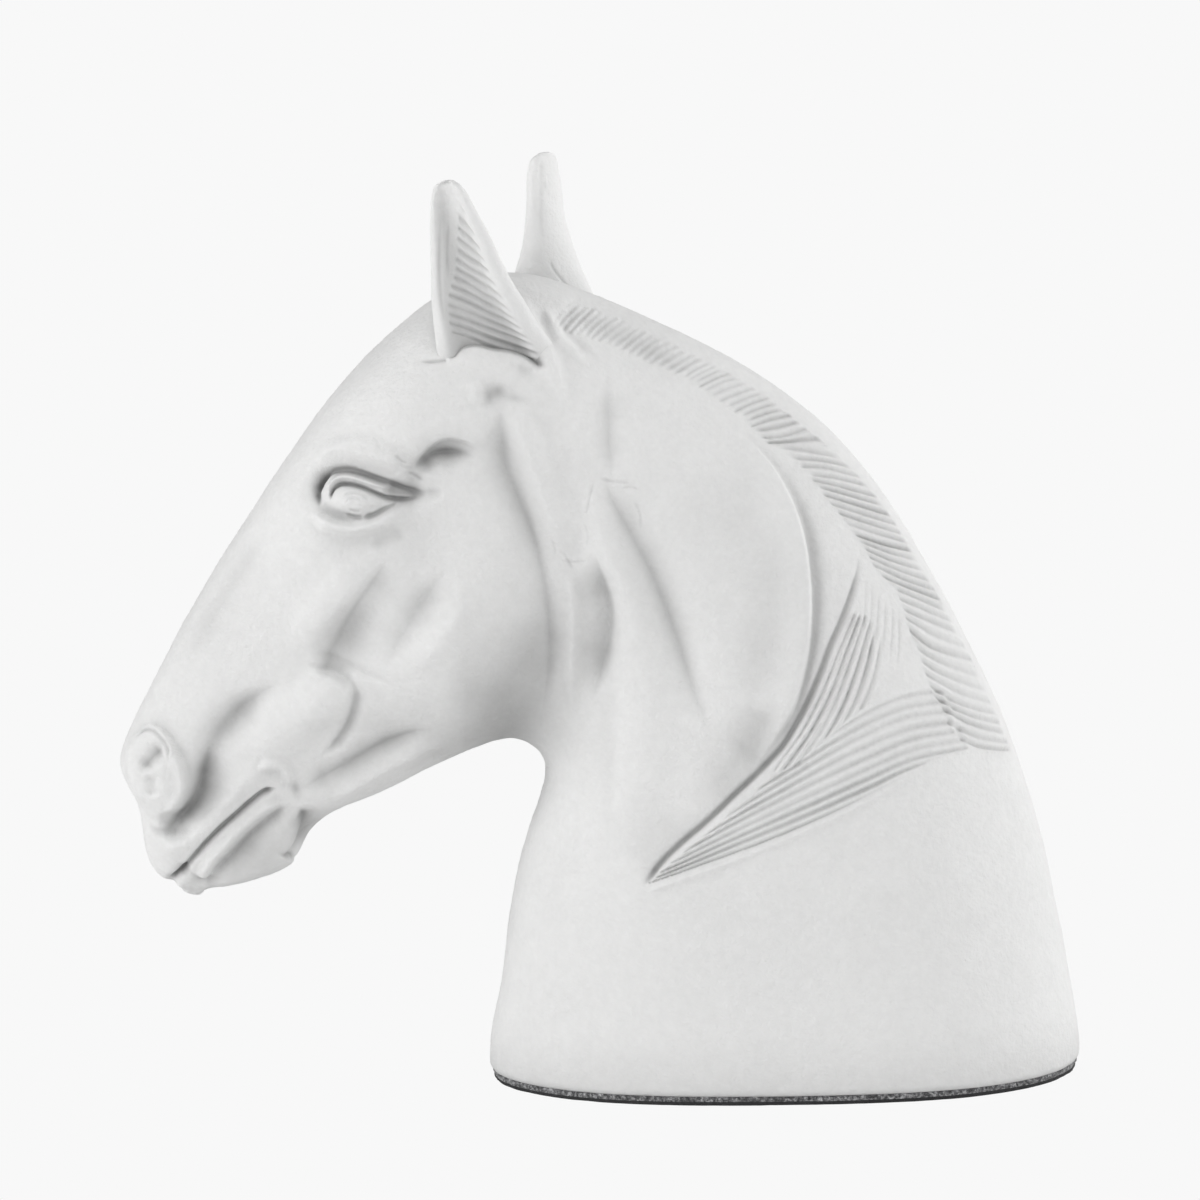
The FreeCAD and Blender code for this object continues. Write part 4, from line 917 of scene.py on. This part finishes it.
def outer_skin(half, normal, step):
    """Carved rings, each crest, right side, throat, left side; and their tones, which hold painted
    shade and mottling.
    """
    x, y, z = np.moveaxis(half, 2, 0)
    columns = np.arange(half.shape[1])
    # the crest and the throat line keep their outline
    edge = np.minimum(columns, len(columns) - 1 - columns) * step
    keep = (0.25 + 0.75 * smooth01(edge / 7.0))[None, :]
    crest = (0.65 + 0.35 * smooth01(edge / 3.0))[None, :]
    # the mane is cut more lightly toward the poll
    light_cut = 1 - 0.5 * smooth01((z - 212.0) / 35.0)
    hair = relief_over(half, HAIR) * crest * light_cut
    carved = relief_over(half, RELIEF) * keep
    # clear of the middle of the poll
    root = relief_over(half, LEFT_ROOT) * keep * smooth01((y - 12.0) / 6.0)
    # painted shade from the spots and streaks, as a colour factor
    painted_shade_factor = np.clip(1 + relief_over(half, PAINTED_SHADES), 0.4, 1)
    # the foot's lower edge is slightly rounded
    low = np.clip((5.2 - z) / 2.2, 0, 1)
    foot_in = 1.1 * (1 - np.sqrt(np.clip(1 - low ** 2, 0, 1)))
    sides, tones = [], []
    for side, extra in ((1, 0.0), (-1, root)):
        points = half * [1, side, 1]
        coarse, medium, fine = [lattice_noise(points.reshape(-1, 3), cell, seed)
                                for cell, seed in ((9.0, 41), (2.6, 42), (1.1, 43))]
        # painted shade: colour darkened in the fine and wide hollows of the carving
        relief_for_shade = carved + 0.55 * hair + extra
        hollow_shade = (1 - FINE_PAINTED_SHADE * hollow(relief_for_shade, 1.6, step, 0.8)
                - WIDE_PAINTED_SHADE * hollow(relief_for_shade, 7.0, step, 3.5)) * painted_shade_factor
        mottle = 1 + 0.009 * coarse + 0.014 * medium + 0.02 * fine
        tones.append(hollow_shade * mottle.reshape(z.shape))
        height = ((carved + hair + extra).reshape(-1)
                  + 0.11 * coarse + 0.07 * medium + 0.055 * fine)
        height = height.reshape(z.shape) - foot_in
        sides.append(points + normal * [1, side, 1] * height[..., None])
    right, left = sides
    right[:, 0, 1] = right[:, -1, 1] = 0
    outer = np.concatenate([right, left[:, -2:0:-1]], axis=1)
    outer[0, :, 2] = FOOT_Z
    return outer, np.concatenate([tones[0], tones[1][:, -2:0:-1]], axis=1)


def inner_skin(u):
    """Rings of the rebate for the board, its ledge, then the cavity."""
    rings = []
    for inset, z in ((REBATE_INSET, FOOT_Z), (REBATE_INSET, REBATE_TOP),
                     (FOOT_WALL, REBATE_TOP)):
        ring = foot_outline(inset, u)
        ring[:, 2] = z
        rings.append(ring)
    walls = ([FOOT_WALL] * 2
             + [FOOT_WALL - (FOOT_WALL - BODY_WALL) * (i - 1) / 3 for i in (2, 3, 4)]
             + [BODY_WALL] * 16
             + [min(BODY_WALL + (HEAD_WALL - BODY_WALL) * (i - 20) / 5, HEAD_WALL)
                for i in range(21, CAVITY_SECTIONS)])
    rings_at, t = loft(np.array([ring_points(section, wall)
                                 for section, wall in zip(SECTIONS, walls)]))
    return np.concatenate([rings, skin_grid(rings_at, np.linspace(t[1], 1, CAVITY_ROWS), u)])


def build_bust():
    half, normal, u = half_skin(BUST_STEP)
    outer, tone = outer_skin(half, normal, BUST_STEP)
    # rounded muzzle end
    centre = outer[-1].mean(0)
    axis = centre - outer[-8].mean(0)
    axis /= np.linalg.norm(axis)
    cap = np.array([centre + (outer[-1] - centre) * math.cos(a) ** 0.8
                    + axis * MUZZLE_ROUND * math.sin(a)
                    for a in np.radians([18, 36, 54, 70, 82])])
    inner = inner_skin(np.concatenate([u, 16 - u[-2:0:-1]]))
    rings = np.concatenate([cap[::-1], outer[::-1], inner])
    n = rings.shape[1]
    tones = np.ones(len(rings) * n + 2)
    tones[len(cap) * n:(len(cap) + len(outer)) * n] = tone[::-1].ravel()
    return make_mesh("bust_skin", rings, centre + axis * MUZZLE_TIP, inner[-1].mean(0), tones)


def thin_out(ob):
    modifier = ob.modifiers.new("thin", "DECIMATE")
    modifier.ratio = DECIMATE_RATIO
    bpy.context.view_layer.objects.active = ob
    ob.select_set(True)
    bpy.ops.object.modifier_apply(modifier="thin")
    ob.select_set(False)
    shade_smooth(ob.data)


# --------------------------------------------------------------------- the ears
def ear_rings(rows, side):
    out = []
    for z, front, rear, centre_y, depth, turn in rows:
        a = math.radians(turn)
        half = (rear - front) / 2 / math.cos(a)
        along = np.array([math.cos(a), side * math.sin(a)])
        outward = np.array([-math.sin(a), side * math.cos(a)])
        bowl = min(np.interp(z, [238, 243, 252, 265, 280, 295, 300],
                             [0.3, 4.2, 5.2, 5.2, 3.8, 2.2, 1.2]), depth * 0.72)
        if side > 0:
            # the right ear's bowl runs out toward its foot, over the dowel
            bowl = min(bowl, np.interp(z, [244, 262, 276], [0.3, 2.6, 5.0]))
        profile = np.array([
            (-1.0, -0.06 * depth), (-0.97, -0.46 * depth), (-0.60, -0.84 * depth),
            (0.0, -depth), (0.60, -0.88 * depth), (0.98, -0.52 * depth), (0.93, -0.10 * depth),
            (0.60, 0.0), (0.36, -0.72 * bowl), (-0.08, -bowl), (-0.48, -0.85 * bowl),
            (-0.76, 0.0)])
        points = profile[:, :1] * half * along + (profile[:, 1:] + depth * 0.5) * outward
        low, high = points[:, 0].min(), points[:, 0].max()
        stretch = (rear - front) / (high - low)
        out.append(np.c_[front + (points[:, 0] - low) * stretch, centre_y + points[:, 1],
                         np.full(len(points), z)])
    return np.array(out)


def build_ear(name, rows, side, bowl_relief, back_relief, seed, painted_light_gain=1.0):
    """side: -1 left, 1 right."""
    rings_at, _ = loft(ear_rings(rows, side))
    u_fine = np.linspace(0, 12, 1201)
    u = spread(u_fine, mean_spacing(rings_at, np.array([0.35, 0.6]), u_fine),
               count=int(EAR_GIRTH / EAR_STEP) + 1)[:-1]
    t_fine = np.linspace(0, 1, 2001)
    spacing = np.linalg.norm(np.diff(rings_at(t_fine), axis=0), axis=2).max(1)
    skin = skin_grid(rings_at, spread(t_fine, spacing, EAR_STEP), u)
    wrapped = np.concatenate([skin[:, -1:], skin, skin[:, :1]], 1)
    normal = unit(np.cross(np.gradient(skin, axis=0), (wrapped[:, 2:] - wrapped[:, :-2]) / 2))
    # outward test at the back of the shell (ring point 3)
    j = np.argmin(np.abs(u - 3.0))
    if ((skin[:, j] - skin.mean(1)) * normal[:, j]).sum() < 0:
        normal = -normal
    in_bowl = smooth01((u - 6.7) / 0.5) * smooth01((11.7 - u) / 0.5)
    on_back = 1 - smooth01((u - 6.0) / 0.4) * smooth01((12.0 - u) / 0.4)
    height = (relief_over(skin, bowl_relief) * in_bowl[None, :]
              + relief_over(skin, back_relief) * on_back[None, :])
    points = skin.reshape(-1, 3)
    rough = 0.10 * lattice_noise(points, 5.0, seed) + 0.05 * lattice_noise(points, 1.8, seed + 1)
    fade_in = np.clip(np.arange(len(skin))[:, None] / 12.0, 0, 1)
    height = height + rough.reshape(height.shape) * fade_in
    skin = skin + normal * height[..., None]
    # rounded tip
    centre = skin[-1].mean(0)
    cap = np.array([centre + (skin[-1] - centre) * math.cos(a) + EAR_ROUND * math.sin(a)
                    for a in np.radians([30, 55, 76])])
    # painted shade: the ear's bowl darker, more so low down, and darker in the carved hollows
    low = np.clip((266 - skin[..., 2]) / 22, 0, 1)
    high = np.clip((296 - skin[..., 2]) / 8, 0, 1)
    shaded = smooth01((u - 7.0) / 1.0) * smooth01((11.6 - u) / 0.6)
    tone = (1 - shaded[None, :] * high * (EAR_PAINTED_SHADE + EAR_LOW_PAINTED_SHADE * low)
            - FINE_PAINTED_SHADE * hollow(height, 2.0, EAR_STEP, 0.6))
    rings = np.concatenate([skin, cap])
    tones = np.ones(rings.size // 3 + 2)
    tones[:tone.size] = tone.ravel()
    # painted_light_gain: painted light, a factor on the whole ear's colour
    return make_mesh(name, rings, skin[0].mean(0), centre + EAR_ROUND, tones * painted_light_gain)


# --------------------------------------------------------------------- the pads
def build_pad(name, bottom, top, inset, seed, wobble, soft):
    """A thin layer under the foot. wobble: how far the cut wanders; soft: edge rounding."""
    n = PAD_COLUMNS
    outline = foot_outline(inset, np.linspace(0, 16, n, endpoint=False))[:, :2]
    tangent = np.roll(outline, -1, 0) - np.roll(outline, 1, 0)
    outward = np.c_[tangent[:, 1], -tangent[:, 0]]
    outward /= np.linalg.norm(outward, axis=1)[:, None]
    if (outward * outline).sum() < 0:
        outward = -outward
    flat = np.c_[outline, np.zeros(n)]
    wave = (lattice_noise(flat, 22.0, seed) * 0.6 + lattice_noise(flat, 6.0, seed + 1) * 0.3
            + lattice_noise(flat, 2.2, seed + 2) * 0.15)
    outline = outline - outward * (np.abs(wave) * wobble)[:, None]
    wall = []
    # share of the thickness, share of soft moved in
    for rise, moved_in in ((0.0, 0.9), (0.03, 0.3), (0.14, 0.0), (0.5, -0.12), (0.86, 0.0),
                           (0.97, 0.3), (1.0, 0.9)):
        z = bottom + (top - bottom) * rise
        ring = np.c_[outline - outward * (soft * moved_in), np.full(n, z)]
        fuzz = lattice_noise(ring * [1, 1, 3], 0.9, seed + 7) * 0.10 * soft
        ring[:, :2] += outward * fuzz[:, None]
        wall.append(ring)
    lower = [np.c_[wall[0][:, :2] * s, np.full(n, bottom)] for s in (0.3, 0.6, 0.9)]
    upper = [np.c_[wall[-1][:, :2] * s, np.full(n, top)] for s in (0.9, 0.6, 0.3)]
    return make_mesh(name, np.array(lower + wall + upper), [0, 0, bottom], [0, 0, top])


# -------------------------------------------------------------------- materials
def feed(tree, node, inputs):
    """A socket given as a value is linked; any other value is set."""
    for key, value in inputs.items():
        if isinstance(value, bpy.types.NodeSocket):
            tree.links.new(value, node.inputs[key])
        else:
            node.inputs[key].default_value = value


def add(tree, kind, inputs=None, **settings):
    node = tree.nodes.new("ShaderNode" + kind)
    for key, value in settings.items():
        setattr(node, key, value)
    feed(tree, node, inputs or {})
    return node


def empty_tree(owner):
    owner.use_nodes = True
    owner.node_tree.nodes.clear()
    return owner.node_tree


def new_material(name):
    """Material, tree, Principled node, and object coordinates (metres)."""
    material = bpy.data.materials.new(name)
    tree = empty_tree(material)
    out = add(tree, "OutputMaterial")
    surface = add(tree, "BsdfPrincipled")
    feed(tree, out, {0: surface.outputs[0]})
    return material, tree, surface, add(tree, "TexCoord").outputs["Object"]


def noise(tree, position, scale, detail, rough):
    return add(tree, "TexNoise", {"Scale": scale, "Detail": detail, "Roughness": rough,
                                  "Vector": position}).outputs["Fac"]


def ramp(tree, source, stops):
    """stops: (position, colour); a single number is a grey."""
    node = add(tree, "ValToRGB", {0: source})
    elements = node.color_ramp.elements
    while len(elements) < len(stops):
        elements.new(0.5)
    for element, (position, colour) in zip(elements, stops):
        element.position = position
        element.color = (*colour, 1) if isinstance(colour, tuple) else (colour,) * 3 + (1,)
    return node.outputs[0]


def multiply(tree, first, second):
    return add(tree, "MixRGB", {0: 1.0, 1: first, 2: second}, blend_type="MULTIPLY").outputs[0]


def one_minus(tree, source):
    return add(tree, "Math", {0: 1.0, 1: source}, operation="SUBTRACT").outputs[0]


def stretched(tree, position, z_scale):
    return add(tree, "Mapping", {"Vector": position, "Scale": (1.0, 1.0, z_scale)}).outputs[0]


def bump(tree, surface, layers):
    """layers: (height socket, strength, distance in m), chained."""
    normal = {}
    for height, strength, distance in layers:
        node = add(tree, "Bump", {"Strength": strength, "Distance": distance,
                                  "Height": height, **normal})
        normal = {"Normal": node.outputs[0]}
    feed(tree, surface, normal)


def plaster(name):
    base, vary = (0.80, 0.80, 0.796), 0.018
    material, tree, surface, position = new_material(name)
    broad = noise(tree, position, scale=28.0, detail=5.0, rough=0.6)
    fine = noise(tree, position, scale=700.0, detail=3.0, rough=0.6)
    grain = noise(tree, position, scale=1900.0, detail=2.0, rough=0.5)
    colour = ramp(tree, broad, [(0.30, tuple(c * (1 - vary) for c in base)), (0.70, base)])
    # small pits, in patches
    cells = add(tree, "TexVoronoi", {"Scale": 210.0, "Vector": position})
    wall = ramp(tree, cells.outputs["Distance"], [(0.0, 0), (0.075, 1)])
    gate = noise(tree, position, scale=60.0, detail=2.0, rough=0.5)
    patches = ramp(tree, gate, [(0.56, 0), (0.66, 1)])
    pits = add(tree, "Math", {0: one_minus(tree, wall), 1: patches},
               operation="MULTIPLY").outputs[0]
    colour = multiply(tree, colour, ramp(tree, pits, [(0.0, 1), (1.0, 0.93)]))
    # painted shade in the hollows and carved lines, from ambient occlusion; reach in m
    occlusion = add(tree, "AmbientOcclusion", {"Distance": 0.026}, samples=6)
    painted_shade = ramp(tree, occlusion.outputs["AO"], [(0.25, 0.70), (0.95, 1)])
    colour = multiply(tree, colour, painted_shade)
    # painted shade kept on the mesh as an attribute
    painted = add(tree, "Attribute", attribute_name="painted_shade")
    colour = multiply(tree, colour, painted.outputs["Fac"])
    feed(tree, surface, {"Base Color": colour,
                         "Roughness": ramp(tree, fine, [(0.3, 0.74), (0.7, 0.90)]),
                         "Specular IOR Level": 0.25})
    bump(tree, surface, [(fine, 0.75, 0.0005), (grain, 0.35, 0.00015),
                         (one_minus(tree, pits), 0.35, 0.0002)])
    return material


def felt_material(name):
    material, tree, surface, position = new_material(name)
    fibres = noise(tree, position, scale=900.0, detail=4.0, rough=0.7)
    clumps = noise(tree, position, scale=420.0, detail=2.0, rough=0.6)
    colour = ramp(tree, fibres, [(0.36, (0.030, 0.030, 0.032)), (0.50, (0.16, 0.16, 0.165)),
                                 (0.64, (0.52, 0.52, 0.53))])
    shade = ramp(tree, clumps, [(0.40, 0.55), (0.62, 1)])
    feed(tree, surface, {"Base Color": multiply(tree, colour, shade), "Roughness": 0.95,
                         "Sheen Weight": 0.3})
    bump(tree, surface, [(fibres, 0.7, 0.0005)])
    return material


def rubber_material(name):
    material, tree, surface, position = new_material(name)
    grain = noise(tree, position, scale=1100.0, detail=3.0, rough=0.6)
    colour = ramp(tree, grain, [(0.35, (0.008, 0.008, 0.009)), (0.7, (0.032, 0.032, 0.034))])
    feed(tree, surface, {"Base Color": colour,
                         "Roughness": ramp(tree, grain, [(0.3, 0.62), (0.7, 0.85)])})
    ribs = add(tree, "TexWave", {"Scale": 130.0, "Distortion": 0.4, "Vector": position})
    bump(tree, surface, [(ribs.outputs["Fac"], 0.25, 0.0003), (grain, 0.3, 0.0002)])
    return material


def metal_material(name, base, rough, z_scale=14.0, metallic=1.0, blot=0.15):
    """z_scale: brushing, noise squeezed along z; blot: how far patches darken."""
    material, tree, surface, position = new_material(name)
    brushing = noise(tree, stretched(tree, position, z_scale), scale=260.0, detail=5.0,
                     rough=0.6)
    blots = noise(tree, position, scale=60.0, detail=4.0, rough=0.6)
    colour = ramp(tree, blots, [(0.3, tuple(c * (1 - blot) for c in base)), (0.7, base)])
    roughness = ramp(tree, brushing, [(0.3, rough * 0.75), (0.7, rough * 1.25)])
    feed(tree, surface, {"Base Color": colour, "Metallic": metallic, "Roughness": roughness})
    bump(tree, surface, [(brushing, 0.25, 0.0001)])
    return material


def board_material(name):
    material, tree, surface, position = new_material(name)
    fibres = noise(tree, stretched(tree, position, 5.0), scale=520.0, detail=6.0, rough=0.7)
    patches = noise(tree, position, scale=45.0, detail=4.0, rough=0.6)
    colour = ramp(tree, fibres, [(0.32, (0.20, 0.125, 0.065)), (0.52, (0.36, 0.245, 0.14)),
                                 (0.72, (0.52, 0.39, 0.25))])
    shade = ramp(tree, patches, [(0.3, (0.85, 0.84, 0.82)), (0.7, 1)])
    feed(tree, surface, {"Base Color": multiply(tree, colour, shade), "Roughness": 0.82})
    bump(tree, surface, [(fibres, 0.5, 0.00025)])
    return material


# --------------------------------------------------------------------- assembly
cast = plaster("cast_white")
bust = build_bust()
thin_out(bust)
left_ear = build_ear("left_ear_shell", LEFT_EAR, -1.0, LEFT_BOWL, LEFT_BACK, seed=61)
# the right ear's colour is raised 5 %, painted light
right_ear = build_ear("right_ear_shell", RIGHT_EAR, 1.0, [], RIGHT_BACK, seed=71,
                      painted_light_gain=1.05)
felt = build_pad("felt_layer", SHEET_TOP, FOOT_Z, inset=0.7, seed=81, wobble=0.9, soft=0.35)
sheet = build_pad("anti_slip_layer", 0.0, SHEET_TOP, inset=1.1, seed=91, wobble=0.7, soft=0.15)
for ob, node, material, slot in (
        (bust, "bust_casting", cast, "cast_white"),
        (left_ear, "left_ear", cast, "cast_white"),
        (right_ear, "right_ear", cast, "cast_white"),
        (felt, "base_felt", felt_material("grey_felt"), "grey_felt"),
        (sheet, "anti_slip_sheet", rubber_material("black_sheet"), "black_sheet")):
    ob.data.materials.append(material)
    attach(ob, "root")
    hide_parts(node)

# CAD pieces that keep their own shape
zinc = metal_material("zinc_steel", (0.62, 0.63, 0.64), rough=0.34)
for node, material in (
        ("ear_pins", metal_material("dowel_steel", (0.55, 0.56, 0.57), rough=0.28)),
        ("base_board", board_material("fibreboard")),
        ("threaded_inserts", metal_material("insert_brass", (0.72, 0.52, 0.21), rough=0.32)),
        ("board_screws", zinc), ("ballast_bolt", zinc), ("ballast_washer", zinc),
        ("ballast_nut", zinc),
        ("ballast_weight", metal_material("ballast_iron", (0.060, 0.058, 0.056), rough=0.68,
                                          z_scale=1, metallic=0.55, blot=0.35))):
    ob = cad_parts[node]
    ob.data.materials.clear()
    ob.data.materials.append(material)

# ------------------------------------------------------------------ stage, metres
BACKDROP = 0.939                         # grey the camera sees on floor and world
FLOOR_SIZE = 12.0
FLOOR_ALBEDO = 0.84                      # what the floor reflects onto the bust
WORLD_LEVEL = 0.365
WORLD_SLOPES = (("X", 0.28), ("Y", 0.02), ("Z", 0.05))    # change of level along each axis
WORLD_LEAST = 0.02
LIGHT_TARGET = (-0.05, 0.0, 0.15)
# name, place, diameter, power in W
LIGHTS = [("side_left", (-2.2, -0.5, 0.7), 1.2, 20.5), ("rim_right", (2.1, 0.6, 1.0), 1.2, 16.0),
          ("front_right", (1.6, -1.4, 0.9), 1.0, 13.0),
          ("front_left", (-1.6, -1.6, 0.6), 1.0, 12.0), ("top", (-0.2, -0.3, 2.4), 1.0, 3.0)]
CAMERA_PLACE = (-0.057911, -2.169828, 0.522171)
CAMERA_TILT, CAMERA_ROLL = math.radians(9.5), math.radians(1.35)


def make_floor():
    bpy.ops.mesh.primitive_plane_add(size=FLOOR_SIZE, location=(0, 0, 0))
    floor = bpy.context.object
    floor.name = "floor"
    material = bpy.data.materials.new("floor")
    tree = empty_tree(material)
    out = add(tree, "OutputMaterial")
    flat = add(tree, "Emission", {0: (BACKDROP,) * 3 + (1,)})
    diffuse = add(tree, "BsdfDiffuse", {0: (FLOOR_ALBEDO,) * 3 + (1,)})
    ray = add(tree, "LightPath").outputs["Is Camera Ray"]
    mix = add(tree, "MixShader", {0: ray, 1: diffuse.outputs[0], 2: flat.outputs[0]})
    feed(tree, out, {0: mix.outputs[0]})
    floor.data.materials.append(material)


def make_world():
    """Light rising toward +x and a little toward +y and +z; plain grey to the camera."""
    world = bpy.data.worlds.new("studio")
    bpy.context.scene.world = world
    tree = empty_tree(world)
    out = add(tree, "OutputWorld")
    background = add(tree, "Background", {"Color": (1, 1, 1, 1)})
    direction = add(tree, "TexCoord").outputs["Generated"]
    axes = add(tree, "SeparateXYZ", {0: direction})
    level = WORLD_LEVEL
    for axis, slope in WORLD_SLOPES:
        level = add(tree, "Math", {0: axes.outputs[axis], 1: slope, 2: level},
                    operation="MULTIPLY_ADD").outputs[0]
    level = add(tree, "Math", {0: level, 1: WORLD_LEAST}, operation="MAXIMUM").outputs[0]
    ray = add(tree, "LightPath").outputs["Is Camera Ray"]
    pick = add(tree, "Mix", {0: ray, 2: level, 3: BACKDROP}, data_type="FLOAT")
    feed(tree, background, {"Strength": pick.outputs[0]})
    feed(tree, out, {0: background.outputs[0]})


def make_light(name, place, diameter, power):
    lamp = bpy.data.lights.new(name, "AREA")
    lamp.shape = "DISK"
    lamp.size = diameter
    lamp.energy = power
    ob = bpy.data.objects.new(name, lamp)
    bpy.context.scene.collection.objects.link(ob)
    ob.location = place
    aim = mathutils.Vector(LIGHT_TARGET) - mathutils.Vector(place)
    ob.rotation_euler = aim.to_track_quat("-Z", "Y").to_euler()


def make_camera():
    """Looks along +y, tilted down and rolled a little."""
    data = bpy.data.cameras.new("camera")
    camera = bpy.data.objects.new("camera", data)
    bpy.context.scene.collection.objects.link(camera)
    data.sensor_width = 36.0
    data.lens = 200.608
    data.clip_start = 0.05
    data.clip_end = 50.0
    sin_tilt, cos_tilt = math.sin(CAMERA_TILT), math.cos(CAMERA_TILT)
    sin_roll, cos_roll = math.sin(CAMERA_ROLL), math.cos(CAMERA_ROLL)
    right = mathutils.Vector((1, 0, 0))
    up = mathutils.Vector((0, sin_tilt, cos_tilt))
    back = mathutils.Vector((0, -cos_tilt, sin_tilt))
    view = mathutils.Matrix((right * cos_roll - up * sin_roll,
                             up * cos_roll + right * sin_roll, back)).transposed().to_4x4()
    view.translation = CAMERA_PLACE
    camera.matrix_world = view
    bpy.context.scene.camera = camera


make_floor()
make_world()
for light in LIGHTS:
    make_light(*light)
make_camera()
view_settings = bpy.context.scene.view_settings
view_settings.view_transform = "Standard"
view_settings.look = "None"
view_settings.exposure = 0.0
view_settings.gamma = 1.0
